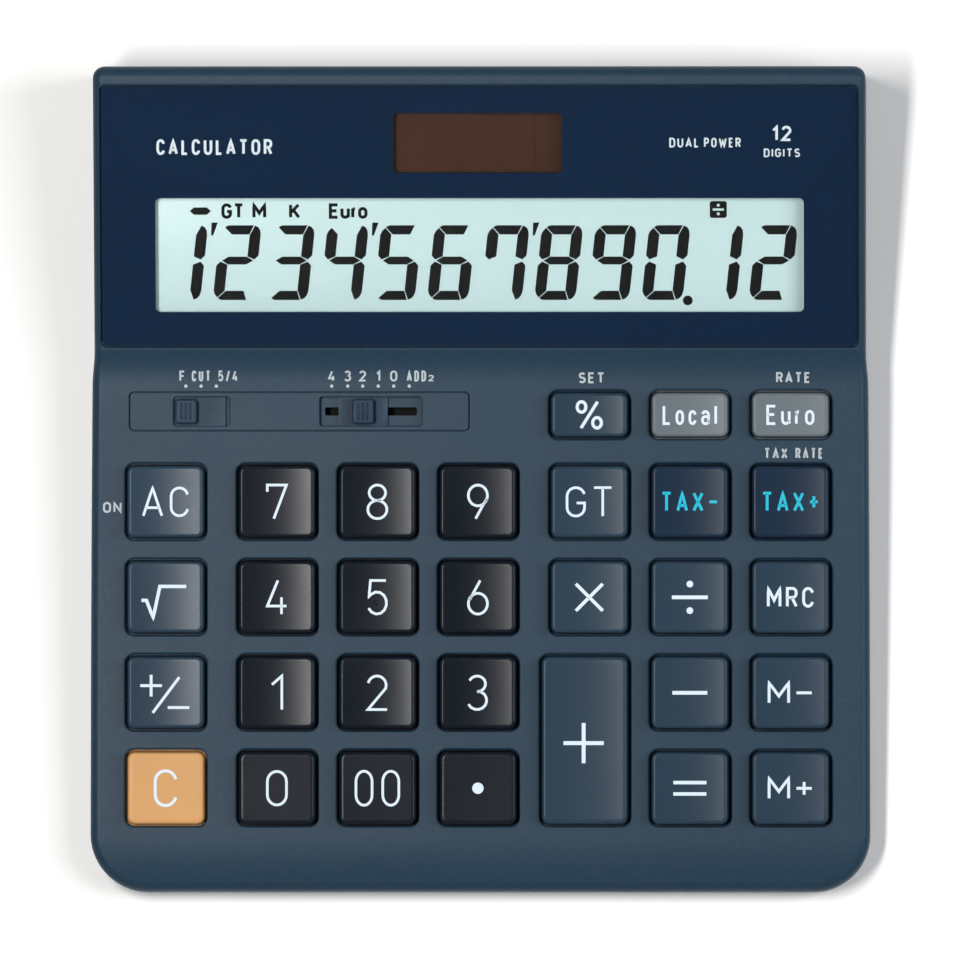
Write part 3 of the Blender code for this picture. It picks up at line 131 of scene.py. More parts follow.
def setUpStudio():
    low, high = cadBox
    target = (low + high) / 2
    right, front = (math.radians(angle) for angle in studio["cameraLean"])
    back = Vector((math.sin(right), -math.sin(front), math.cos(right) * math.cos(front)))
    back.normalize()
    across = (Vector((1, 0, 0)) - back * back.x).normalized()
    turn = Matrix((across, back.cross(across), back)).transposed()
    lens = bpy.data.cameras.new("camera")
    lens.sensor_width = studio["sensor"]
    lens.lens = studio["sensor"] * studio["cameraDistance"] / studio["viewWidth"]
    lens.clip_end = 20.0
    camera = bpy.data.objects.new("camera", lens)
    camera.matrix_world = Matrix.Translation(target + back * studio["cameraDistance"]) @ turn.to_4x4()
    scene.collection.objects.link(camera)
    scene.camera = camera

    for name, (place, size, power, colour) in studio["lights"].items():
        light = bpy.data.lights.new(name, "AREA")
        light.shape = "RECTANGLE"
        light.size, light.size_y = size
        light.energy, light.color = power, colour
        holder = bpy.data.objects.new(name, light)
        holder.location = place
        holder.rotation_mode = "QUATERNION"
        holder.rotation_quaternion = (target - Vector(place)).to_track_quat("-Z", "Y")
        holder.visible_camera = False
        scene.collection.objects.link(holder)

    world = bpy.data.worlds.new("studio")
    scene.world = world
    world.use_nodes = True
    world.node_tree.nodes["Background"].inputs["Color"].default_value = (*studio["world"], 1.0)
    scene.view_settings.view_transform = "Standard"

    shape = bmesh.new()
    bmesh.ops.create_grid(shape, x_segments=2, y_segments=2, size=studio["floorSize"] / 2)
    floor = bpy.data.objects.new("floor", bpy.data.meshes.new("floor"))
    shape.to_mesh(floor.data)
    shape.free()
    floor.data.materials.append(surface("floorPaper", floorLook))
    scene.collection.objects.link(floor)
    print("studio ready")


# Shader groups that the materials share.
def newGroup(name, inputs, outputs):
    group = bpy.data.node_groups.new(name, "ShaderNodeTree")
    for label, kind, value in inputs:
        socket = group.interface.new_socket(label, in_out="INPUT", socket_type="NodeSocket" + kind)
        socket.default_value = value
    for label, kind in outputs:
        group.interface.new_socket(label, in_out="OUTPUT", socket_type="NodeSocket" + kind)
    return group, group.nodes.new("NodeGroupInput").outputs, group.nodes.new("NodeGroupOutput").inputs


def noiseOf(tree, size, detail=2.0, rough=0.5):
    # noise with lumps of about this size, in metres
    place = put(tree, "ShaderNodeTexCoord").outputs["Object"]
    node = put(tree, "ShaderNodeTexNoise")
    tree.links.new(place, node.inputs["Vector"])
    tree.links.new(sums(tree, "DIVIDE", 0.5, size), node.inputs["Scale"])
    node.inputs["Detail"].default_value = detail
    node.inputs["Roughness"].default_value = rough
    return node.outputs["Fac"]


def grainGroup():
    # moulded grain: a height for the bump and a roughness that drifts over the surface
    inputs = [("Size", "Float", 0.3 * mm), ("Roughness", "Float", 0.5), ("Spread", "Float", 0.05)]
    group, given, made = newGroup("mouldedGrain", inputs, [("Roughness", "Float"), ("Height", "Float")])
    fine = noiseOf(group, given["Size"], detail=3.0)
    patches = noiseOf(group, sums(group, "MULTIPLY", given["Size"], 45.0))
    drift = sums(group, "MULTIPLY", sums(group, "SUBTRACT", patches, 0.5), given["Spread"])
    speckle = sums(group, "MULTIPLY", sums(group, "SUBTRACT", fine, 0.5), given["Spread"])
    spread = sums(group, "MULTIPLY", sums(group, "ADD", drift, speckle), 2.0)
    group.links.new(sums(group, "ADD", given["Roughness"], spread), made["Roughness"])
    group.links.new(fine, made["Height"])
    return group


def toneGroup():
    # the colour drifts a little lighter and darker in wide patches
    inputs = [("Colour", "Color", (1, 1, 1, 1)), ("Amount", "Float", 0.05), ("Size", "Float", 12 * mm)]
    group, given, made = newGroup("toneDrift", inputs, [("Colour", "Color")])
    patches = sums(group, "SUBTRACT", noiseOf(group, given["Size"]), 0.5)
    value = sums(group, "MULTIPLY_ADD", patches, sums(group, "MULTIPLY", given["Amount"], 4.0), 1.0)
    shift = put(group, "ShaderNodeHueSaturation", 0.5, 1.0, value, 1.0, given["Colour"])
    group.links.new(shift.outputs[0], made["Colour"])
    return group


def wearGroup():
    # edges rubbed paler where fingers pass, broken up by a fine noise
    inputs = [("Colour", "Color", (1, 1, 1, 1)), ("Worn", "Color", (1, 1, 1, 1)), ("Amount", "Float", 0.3)]
    group, given, made = newGroup("edgeWear", inputs, [("Colour", "Color"), ("Mask", "Float")])
    edge = put(group, "ShaderNodeNewGeometry").outputs["Pointiness"]
    rim = clamped(group, edge, 0.5, 0.62, 0.0, 1.0)
    broken = clamped(group, noiseOf(group, 1.5 * mm, 4.0, 0.7), 0.35, 0.65)
    mask = sums(group, "MULTIPLY", sums(group, "MULTIPLY", rim, broken), given["Amount"])
    group.links.new(mixColours(group, mask, given["Colour"], given["Worn"]), made["Colour"])
    group.links.new(mask, made["Mask"])
    return group


def dustGroup():
    # a thin pale film on what faces up
    inputs = [("Colour", "Color", (1, 1, 1, 1)), ("Amount", "Float", 0.03)]
    group, given, made = newGroup("dustFilm", inputs, [("Colour", "Color")])
    facing = put(group, "ShaderNodeSeparateXYZ", put(group, "ShaderNodeNewGeometry").outputs["Normal"])
    upward = sums(group, "MAXIMUM", facing.outputs["Z"], 0.0)
    specks = clamped(group, noiseOf(group, 0.5 * mm, 5.0, 0.8), 0.45, 0.75)
    mask = sums(group, "MULTIPLY", sums(group, "MULTIPLY", upward, specks), given["Amount"])
    group.links.new(mixColours(group, mask, given["Colour"], (0.42, 0.42, 0.40)), made["Colour"])
    return group


groups = {"grain": grainGroup(), "tone": toneGroup(), "wear": wearGroup(), "dust": dustGroup()}


def useGroup(tree, name, **values):
    node = tree.nodes.new("ShaderNodeGroup")
    node.node_tree = groups[name]
    for key, value in values.items():
        socket = node.inputs[key]
        if isinstance(value, bpy.types.NodeSocket):
            tree.links.new(value, socket)
        else:
            socket.default_value = (*value, 1.0) if isinstance(value, tuple) else value
    return node.outputs


plainLook = {
    "colour": (0.5, 0.5, 0.5),
    "roughness": 0.5,
    "spread": 0.04,
    "metallic": 0.0,
    "grainSize": 0.30 * mm,
    "grainDepth": 0.006 * mm,
    "drift": 0.04,
    "driftSize": 12 * mm,
    "wear": 0.0,
    "worn": (0.5, 0.5, 0.5),
    "dust": 0.0,
    "coat": 0.0,
    "specular": 0.5,
}


def surface(name, look, pattern=None):
    # an opaque material; pattern may paint the base colour before drift, wear and dust
    look = {**plainLook, **look}
    material = bpy.data.materials.new(name)
    material.use_nodes = True
    tree = material.node_tree
    shader = tree.nodes["Principled BSDF"]
    base = pattern(tree, look["colour"]) if pattern else look["colour"]
    colour = useGroup(tree, "tone", Colour=base, Amount=look["drift"], Size=look["driftSize"])["Colour"]
    if look["wear"]:
        colour = useGroup(tree, "wear", Colour=colour, Worn=look["worn"], Amount=look["wear"])["Colour"]
    if look["dust"]:
        colour = useGroup(tree, "dust", Colour=colour, Amount=look["dust"])["Colour"]
    grain = useGroup(
        tree, "grain", Size=look["grainSize"], Roughness=look["roughness"], Spread=look["spread"]
    )
    bump = put(tree, "ShaderNodeBump")
    bump.inputs["Strength"].default_value = 1.0
    bump.inputs["Distance"].default_value = look["grainDepth"]
    tree.links.new(grain["Height"], bump.inputs["Height"])
    tree.links.new(colour, shader.inputs["Base Color"])
    tree.links.new(grain["Roughness"], shader.inputs["Roughness"])
    tree.links.new(bump.outputs["Normal"], shader.inputs["Normal"])
    shader.inputs["Metallic"].default_value = look["metallic"]
    shader.inputs["Specular IOR Level"].default_value = look["specular"]
    shader.inputs["Coat Weight"].default_value = look["coat"]
    shader.inputs["Coat Roughness"].default_value = 0.08
    material.diffuse_color = (*look["colour"], 1.0)
    return material


floorLook = {"colour": (0.95, 0.95, 0.948), "roughness": 0.85, "drift": 0.004, "grainSize": 2 * mm}
setUpStudio()


# Frames of the two sloping faces: X to the right, Y up the face, Z out of it.
caseShape = {
    "wall": 2.0 * mm,
    "floor": 1.8 * mm,
    "edgeRadius": 1.8 * mm,
    "bottomRadius": 2.0 * mm,
    "frontCorner": 11.0 * mm,
    "rearCorner": 2.3 * mm,
    "leastCorner": 0.3 * mm,
    "neckInset": 0.4 * mm,
    "displayInset": 0.85 * mm,
    "noseLength": 10.5 * mm,
    "noseDrop": 1.5 * mm,
    "rampLength": 6.6 * mm,
    "rampRadius": 17.8 * mm,
    "displayLength": 54.5 * mm,
    "browLength": 3.5 * mm,
    "browDrop": 1.2 * mm,
    "partingDrop": 5.4 * mm,
    "partingGap": 0.3 * mm,
    "windowSink": 0.2 * mm,
    "cornerSteps": 14,
    "edgeSteps": 6,
    "rampSteps": 10,
}
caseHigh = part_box("front_cover")[1]
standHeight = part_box("rear_cover")[0].z
frontY, rearY, halfWidth = -caseHigh.y, caseHigh.y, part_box("rear_cover")[1].x
displayY = rearY - caseShape["displayLength"]
rampY = displayY - caseShape["rampLength"]
noseY = frontY + caseShape["noseLength"]
browY = rearY - caseShape["browLength"]


def faceFrame(node, originY, lift):
    # the plane of the node's biggest upward face, raised by lift, with its origin at originY
    mesh = frame["nodes"][node].data
    top = max((face for face in mesh.polygons if face.normal.z > 0.9), key=lambda face: face.area)
    normal = top.normal
    height = (normal.dot(top.center) + lift - normal.y * originY) / normal.z
    place = Matrix.Translation((0, originY, height))
    return place @ Matrix.Rotation(math.atan2(-normal.y, normal.z), 4, "X")


deckFrame = faceFrame("switch_plate", 0.0, 0.0)
displayFrame = faceFrame("display_window", displayY, caseShape["windowSink"])
deckRise = math.tan(deckFrame.to_euler().x)
displayRise = math.tan(displayFrame.to_euler().x)


def boxIn(place, node):
    # a node's centre and size in one of the frames
    inverse = place.inverted()
    points = [inverse @ vertex.co for vertex in frame["nodes"][node].data.vertices]
    low = Vector([min(point[i] for point in points) for i in range(3)])
    high = Vector([max(point[i] for point in points) for i in range(3)])
    return (low + high) / 2, high - low


def boxOf(node):
    low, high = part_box(node)
    return (low + high) / 2, high - low


# the strips across the deck meet along the middle of each row of keys
columnKeys = ("key_clear", "key_sign", "key_root", "key_ac")
keyRows = [sum(point.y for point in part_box(node)) / 2 for node in (*columnKeys, "key_percent")]


def deckHeight(y):
    return deckFrame.translation.z + y * deckRise


def topHeight(y):
    # height of the case's top along its length, without the edge rounding
    if y < noseY:
        return deckHeight(y) - caseShape["noseDrop"] * ((noseY - y) / caseShape["noseLength"]) ** 2
    if y <= rampY:
        return deckHeight(y)
    if y <= displayY:
        radius, slope = caseShape["rampRadius"], math.atan(deckRise)
        angle = math.asin(math.sin(slope) + (y - rampY) / radius)
        return deckHeight(rampY) + radius * (math.cos(slope) - math.cos(angle))
    face = displayFrame.translation.z + (y - displayY) * displayRise
    return face - caseShape["browDrop"] * (max(y - browY, 0.0) / caseShape["browLength"]) ** 2


def seamHeight(y):
    return deckHeight(y) - caseShape["partingDrop"]


def sideAt(y):
    along = min(max((y - frontY) / (rampY - frontY), 0.0), 1.0)
    step = min(max((y - rampY) / caseShape["rampLength"], 0.0), 1.0)
    stepIn = (caseShape["displayInset"] - caseShape["neckInset"]) * step * step * (3 - 2 * step)
    return halfWidth - caseShape["neckInset"] * along**2 - stepIn


def outline(inset):
    # plan outline: the right side from front to rear, then the left side back
    front = max(caseShape["frontCorner"] - inset, caseShape["leastCorner"])
    rear = max(caseShape["rearCorner"] - inset, caseShape["leastCorner"])
    side = []
    for step in range(caseShape["cornerSteps"] + 1):
        angle = math.pi / 2 * step / caseShape["cornerSteps"]
        x = sideAt(frontY) - inset - front * (1 - math.sin(angle))
        side.append((x, frontY + inset + front * (1 - math.cos(angle))))
    stations = [*keyRows, rampY]
    rampSteps = caseShape["rampSteps"]
    stations += [rampY + caseShape["rampLength"] * i / rampSteps for i in range(1, rampSteps + 1)]
    stations += [browY, (browY + rearY - caseShape["rearCorner"]) / 2]
    side += [(sideAt(y) - inset, y) for y in stations]
    for step in range(caseShape["edgeSteps"] + 1):
        angle = math.pi / 2 * step / caseShape["edgeSteps"]
        x = sideAt(rearY) - inset - rear * (1 - math.cos(angle))
        side.append((x, rearY - inset - rear * (1 - math.sin(angle))))
    return side + [(-x, y) for x, y in reversed(side)]


def ringAt(inset, height):
    return [Vector((x, y, height(y))) for x, y in outline(inset)]


def edgeRings(radius, height):
    # rings round the quarter circle between the side wall and a face; height gives z from y and a drop
    steps = caseShape["edgeSteps"]
    rings = []
    for step in range(steps + 1):
        angle = math.pi / 2 * step / steps
        drop = radius * (1 - math.sin(angle))
        rings.append(ringAt(radius * (1 - math.cos(angle)), lambda y, drop=drop: height(y, drop)))
    return rings


def caseLoft(rings):
    # a closed body from rings; its two ends are closed by strips that run from side to side
    shape = bmesh.new()
    rows = [[shape.verts.new(point) for point in ring] for ring in rings]
    count = len(rows[0])
    for lower, upper in zip(rows, rows[1:]):
        for i in range(count):
            j = (i + 1) % count
            shape.faces.new((lower[i], lower[j], upper[j], upper[i]))
    for row in (rows[0], rows[-1]):
        for i in range(count // 2 - 1):
            shape.faces.new((row[i], row[i + 1], row[count - 2 - i], row[count - 1 - i]))
    bmesh.ops.recalc_face_normals(shape, faces=shape.faces)
    return shape


# Plain shapes and how they are joined and cut.
def roundedRect(width, depth, radius, steps=6):
    points = []
    corners = [(1, -1, -90), (1, 1, 0), (-1, 1, 90), (-1, -1, 180)]
    for signX, signY, start in corners:
        x, y = signX * (width / 2 - radius), signY * (depth / 2 - radius)
        for step in range(steps + 1):
            angle = math.radians(start + 90 * step / steps)
            points.append((x + radius * math.cos(angle), y + radius * math.sin(angle)))
    return points


def stack(shape, place, centre, rows, steps=6):
    # a closed body from rounded rectangles (width, depth, corner radius, height), lowest first
    rings = []
    for width, depth, radius, z in rows:
        ring = roundedRect(width, depth, radius, steps)
        rings.append([shape.verts.new(place @ Vector((centre[0] + x, centre[1] + y, z))) for x, y in ring])
    for low, high in zip(rings, rings[1:]):
        for i in range(len(low)):
            j = (i + 1) % len(low)
            shape.faces.new((low[i], low[j], high[j], high[i]))
    shape.faces.new(rings[0][::-1])
    shape.faces.new(rings[-1])


def softRows(width, depth, corner, low, high, edge, steps=3, bottomEdge=0.0):
    # rows for stack(): a plate whose top edge, and bottom edge where asked, is rounded
    rows = []
    if bottomEdge:
        for step in range(steps + 1):
            angle = math.pi / 2 * step / steps
            inset = bottomEdge * (1 - math.sin(angle))
            z = low + bottomEdge * (1 - math.cos(angle))
            rows.append((width - 2 * inset, depth - 2 * inset, max(corner - inset, 0.05 * mm), z))
    else:
        rows.append((width, depth, corner, low))
    for step in range(steps + 1):
        angle = math.pi / 2 * step / steps
        inset = edge * (1 - math.cos(angle))
        z = high - edge * (1 - math.sin(angle))
        rows.append((width - 2 * inset, depth - 2 * inset, max(corner - inset, 0.05 * mm), z))
    return rows


def flaredRows(width, depth, corner, low, high, lip, steps=4):
    # rows for a cutter that leaves a rounded lip where it meets a face at height 0
    rows = [(width, depth, corner, low)]
    for step in range(steps + 1):
        angle = math.pi / 2 * step / steps
        grow = 2 * lip * (1 - math.cos(angle))
        rows.append((width + grow, depth + grow, corner + grow / 2, lip * (math.sin(angle) - 1)))
    rows.append((width + 2 * lip, depth + 2 * lip, corner + lip, high))
    return rows


def cone(shape, place, centre, radiusLow, radiusHigh, low, high, sides=32):
    where = place @ Matrix.Translation((centre[0], centre[1], (low + high) / 2))
    bmesh.ops.create_cone(
        shape,
        cap_ends=True,
        segments=sides,
        radius1=radiusLow,
        radius2=radiusHigh,
        depth=high - low,
        matrix=where,
    )


def meshOf(shape, name="shape"):
    mesh = bpy.data.meshes.new(name)
    shape.to_mesh(mesh)
    shape.free()
    return mesh


def looseObject(name, mesh):
    piece = bpy.data.objects.new(name, mesh)
    scene.collection.objects.link(piece)
    return piece


def evaluatedMesh(piece, helpers=()):
    # the mesh with its modifiers applied; the object and its cutters are removed
    bpy.context.view_layer.update()
    graph = bpy.context.evaluated_depsgraph_get()
    mesh = bpy.data.meshes.new_from_object(piece.evaluated_get(graph))
    for spare in (piece, *helpers):
        bpy.data.objects.remove(spare, do_unlink=True)
    return mesh


def combined(mesh, steps):
    # joins to the mesh, or cuts from it, each (operation, shape) in turn
    body = looseObject("body", mesh)
    helpers = []
    for operation, shape in steps:
        helper = looseObject("helper", meshOf(shape))
        modifier = body.modifiers.new("cut", "BOOLEAN")
        modifier.operation = operation
        modifier.object = helper
        modifier.solver = "EXACT"
        helpers.append(helper)
    return evaluatedMesh(body, helpers)


def smoothed(mesh, angle=35.0, weighted=False):
    # shaded smooth but for sharp edges; weighted lets wide flat faces keep their own normals
    mesh.shade_smooth()
    mesh.set_sharp_from_angle(angle=math.radians(angle))
    if not weighted:
        return mesh
    body = looseObject("body", mesh)
    modifier = body.modifiers.new("normals", "WEIGHTED_NORMAL")
    modifier.keep_sharp = True
    return evaluatedMesh(body)


slotOf = {part["node"]: part["material_slot"] for part in frame["record"]["subparts"]}
keyNodes = [node for node in frame["nodes"] if node.startswith("key_") and node != "key_mat"]
modelFrame = Matrix.Identity(4)


def addPiece(name, mesh, finish, body="case", nodes=()):
    mesh.materials.clear()
    mesh.materials.append(finish)
    mesh.name = name
    piece = looseObject(name, mesh)
    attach(piece, body)
    if nodes:
        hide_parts(*nodes)
    return piece


def bodyOf(node):
    return next(body for body, nodes in frame["record"]["behaviour"]["bodies"].items() if node in nodes)


# The keycap, as a tree of nodes: a grid drawn out to a dished top with rounded corners and edge,
# then its walls and the flange that holds it under the deck.
keyLook = {
    "clearance": 0.25 * mm,  # between a key and its hole
    "lip": 0.40 * mm,  # rounding round each hole in the deck
    "flangeReach": 0.75 * mm,
    "flangeDepth": 2.1 * mm,  # flange under the deck's face
    "draft": 0.27 * mm,
    "corner": 1.35 * mm,
    "edge": 0.55 * mm,
    "dish": 0.35 * mm,
    "flatDish": 0.04 * mm,
    "flatKeys": ("key_clear", "key_0", "key_00", "key_point"),
    "shell": 0.45 * mm,
    "stemRadius": 1.9 * mm,
    "stemSink": 0.02 * mm,  # under the shell, which it meets
    "longKey": 20 * mm,  # a key deeper than this has two stems
    "stemSpread": 1.1 * mm,
    "holeCorner": 1.75 * mm,
    "gridPoints": 33,
}


def newGeometryTree(name, inputs):
    tree = bpy.data.node_groups.new(name, "GeometryNodeTree")
    for label, kind, value in inputs:
        socket = tree.interface.new_socket(label, in_out="INPUT", socket_type="NodeSocket" + kind)
        if value is not None:
            socket.default_value = value
    tree.interface.new_socket("Geometry", in_out="OUTPUT", socket_type="NodeSocketGeometry")
    return tree, tree.nodes.new("NodeGroupInput").outputs


def finishTree(tree, geometry, material):
    real = put(tree, "GeometryNodeRealizeInstances", geometry).outputs[0]
    dressed = put(tree, "GeometryNodeSetMaterial", real)
    tree.links.new(material, dressed.inputs["Material"])
    out = tree.nodes.new("NodeGroupOutput")
    tree.links.new(dressed.outputs[0], out.inputs[0])
    return tree


def runTree(tree, values, source=None, shell=0.0):
    # the tree's result as a plain mesh; source is the mesh that it starts from
    holder = looseObject("holder", source or bpy.data.meshes.new("empty"))
    modifier = holder.modifiers.new("nodes", "NODES")
    modifier.node_group = tree
    for item in tree.interface.items_tree:
        if item.in_out == "INPUT" and item.name in values:
            modifier[item.identifier] = values[item.name]
    if shell:
        wall = holder.modifiers.new("shell", "SOLIDIFY")
        wall.thickness = shell
        wall.offset = -1.0
        wall.use_even_offset = True
    return evaluatedMesh(holder)


def outwardOf(tree, place, inner):
    # the nearest point of the inner rectangle, and the offset from it in plan
    above = vectors(tree, "MAXIMUM", place, scaled(tree, inner, -1.0))
    nearest = vectors(tree, "MINIMUM", above, inner)
    return nearest, vectors(tree, "SUBTRACT", place, nearest)


def keycapTree():
    sizes = ["Width", "Depth", "Corner", "Edge", "Dish", "Top", "Foot", "Draft", "Flange"]
    inputs = [(label, "Float", 1.0 * mm) for label in sizes] + [("Finish", "Material", None)]
    tree, given = newGeometryTree("keycap", inputs)
    count = keyLook["gridPoints"]
    grid = put(tree, "GeometryNodeMeshGrid", 2.0, 2.0, count, count).outputs["Mesh"]
    place = put(tree, "GeometryNodeInputPosition").outputs[0]

    halfX, halfY = (sums(tree, "MULTIPLY", given[label], 0.5) for label in ("Width", "Depth"))
    half = joinXyz(tree, halfX, halfY, 0.0)
    corner = joinXyz(tree, given["Corner"], given["Corner"], 0.0)
    inner = vectors(tree, "SUBTRACT", half, corner)

    # points crowd towards the edges, where the surface turns down
    crowded = vectors(tree, "SINE", scaled(tree, place, math.pi / 2))
    spread = vectors(tree, "MULTIPLY", crowded, half)
    nearest, offset = outwardOf(tree, spread, inner)
    reach = splitXyz(tree, vectors(tree, "ABSOLUTE", offset))
    ring = sums(tree, "MAXIMUM", reach[0], reach[1])
    outward = vectors(tree, "NORMALIZE", offset)
    rounded = vectors(tree, "ADD", nearest, scaled(tree, outward, ring))

    size = splitXyz(tree, vectors(tree, "ABSOLUTE", spread))
    fromX = sums(tree, "SUBTRACT", halfX, size[0])
    fromY = sums(tree, "SUBTRACT", halfY, size[1])
    fromEdge = sums(tree, "MINIMUM", fromX, fromY)
    missing = sums(tree, "MAXIMUM", sums(tree, "SUBTRACT", given["Edge"], fromEdge), 0.0)
    edgeSquare = sums(tree, "MULTIPLY", given["Edge"], given["Edge"])
    under = sums(tree, "SUBTRACT", edgeSquare, sums(tree, "MULTIPLY", missing, missing))
    drop = sums(tree, "SUBTRACT", given["Edge"], sums(tree, "SQRT", sums(tree, "MAXIMUM", under, 0.0)))
    where = splitXyz(tree, rounded)
    across = sums(tree, "DIVIDE", where[0], halfX)
    bend = sums(tree, "SUBTRACT", 1.0, sums(tree, "MULTIPLY", across, across))
    dish = sums(tree, "MULTIPLY", given["Dish"], bend)
    height = sums(tree, "SUBTRACT", sums(tree, "SUBTRACT", given["Top"], dish), drop)
    shaped = joinXyz(tree, where[0], where[1], height)
    cap = put(tree, "GeometryNodeSetPosition", grid, None, shaped).outputs[0]

    # the rim is drawn down to the foot of the wall, then out to the edge of the flange
    neighbours = put(tree, "GeometryNodeInputMeshEdgeNeighbors").outputs[0]
    rim = put(tree, "FunctionNodeCompare", data_type="INT", operation="EQUAL")
    tree.links.new(neighbours, rim.inputs[2])
    rim.inputs[3].default_value = 1
    selection = rim.outputs[0]
    for growth, level in ((given["Draft"], given["Foot"]), (given["Flange"], given["Foot"])):
        drawn = put(tree, "GeometryNodeExtrudeMesh", cap, selection, (0.0, 0.0, 0.0), 0.0, mode="EDGES")
        plan = vectors(tree, "MULTIPLY", place, (1.0, 1.0, 0.0))
        offset = outwardOf(tree, plan, inner)[1]
        outward = vectors(tree, "NORMALIZE", offset)
        grown = vectors(tree, "ADD", plan, scaled(tree, outward, growth))
        lifted = vectors(tree, "ADD", grown, joinXyz(tree, 0.0, 0.0, level))
        selection = drawn.outputs["Top"]
        cap = put(tree, "GeometryNodeSetPosition", drawn.outputs["Mesh"], selection, lifted).outputs[0]
    return finishTree(tree, cap, given["Finish"])


def dishOf(node):
    return keyLook["flatDish" if node in keyLook["flatKeys"] else "dish"]


def keyTop(node, half, top, x):
    return top - dishOf(node) * (1 - (x / half) ** 2)


def makeKeys():
    tree = keycapTree()
    tops = {}
    made = {}
    for node in keyNodes:
        centre, size = boxIn(deckFrame, node)
        width, depth = (length - 2 * keyLook["flangeReach"] for length in size[:2])
        top = centre.z + size.z / 2
        finish = slotOf[node]
        values = {
            "Width": width - 2 * keyLook["draft"],
            "Depth": depth - 2 * keyLook["draft"],
            "Corner": keyLook["corner"],
            "Edge": keyLook["edge"],
            "Dish": dishOf(node),
            "Top": top,
            "Foot": -keyLook["flangeDepth"],
            "Draft": keyLook["draft"],
            "Flange": keyLook["flangeReach"],
            "Finish": finishes[finish],
        }
        kind = (round(width, 5), round(depth, 5), dishOf(node), finish)
        if kind not in made:
            mesh = runTree(tree, values, shell=keyLook["shell"])
            shape = bmesh.new()
            shape.from_mesh(mesh)
            stemY = depth / 4 + keyLook["stemSpread"]
            for y in (0.0,) if depth < keyLook["longKey"] else (-stemY, stemY):
                roof = top - dishOf(node) - keyLook["shell"] - keyLook["stemSink"]
                radius = keyLook["stemRadius"]
                low = centre.z - size.z / 2
                cone(shape, modelFrame, (0.0, y), radius, radius, low, roof, 24)
            shape.to_mesh(mesh)
            shape.free()
            made[kind] = smoothed(mesh, 50)
        mesh = made[kind].copy()
        mesh.transform(deckFrame @ Matrix.Translation((centre.x, centre.y, 0.0)))
        label = node.replace("key_", "keycap_", 1)
        addPiece(label, mesh, finishes[finish], bodyOf(node), [node])
        tops[node] = (centre, width / 2 - keyLook["draft"], top)
    print("keycaps:", len(tops))
    return tops


# Finishes of the moulded, printed and metal pieces.
def boardPattern(tree, colour):
    # copper tracks show through the green solder mask
    place = put(tree, "ShaderNodeTexCoord").outputs["Object"]
    tracks = put(tree, "ShaderNodeTexBrick", place, (*colour, 1.0), (*colour, 1.0))
    tracks.inputs["Mortar"].default_value = (0.06, 0.26, 0.10, 1.0)
    tracks.inputs["Scale"].default_value = 110.0
    tracks.inputs["Mortar Size"].default_value = 0.05
    return tracks.outputs["Color"]


def ribbonPattern(tree, colour):
    # tin lines side by side on the amber film
    place = put(tree, "ShaderNodeSeparateXYZ", put(tree, "ShaderNodeTexCoord").outputs["Object"])
    wave = sums(tree, "SINE", sums(tree, "MULTIPLY", place.outputs["X"], 2 * math.pi / (1.0 * mm)))
    line = clamped(tree, wave, 0.1, 0.3)
    return mixColours(tree, line, colour, (0.50, 0.46, 0.40))


def brushedPattern(tree, colour):
    # fine turning marks round the button cell
    noise = noiseOf(tree, 0.15 * mm, 4.0, 0.7)
    return mixColours(tree, noise, colour, tuple(0.82 * part for part in colour))


def keyFinish(colour, roughness, specular, wear, worn):
    return {
        "colour": colour, "roughness": roughness, "specular": specular, "grainSize": 0.22 * mm,
        "grainDepth": 0.0010 * mm, "wear": wear, "worn": worn,
    }


def inkFinish(colour, specular=0.5, drift=0.02, roughness=0.5, grainDepth=0.001 * mm):
    return {
        "colour": colour, "roughness": roughness, "specular": specular, "grainDepth": grainDepth,
        "drift": drift,
    }


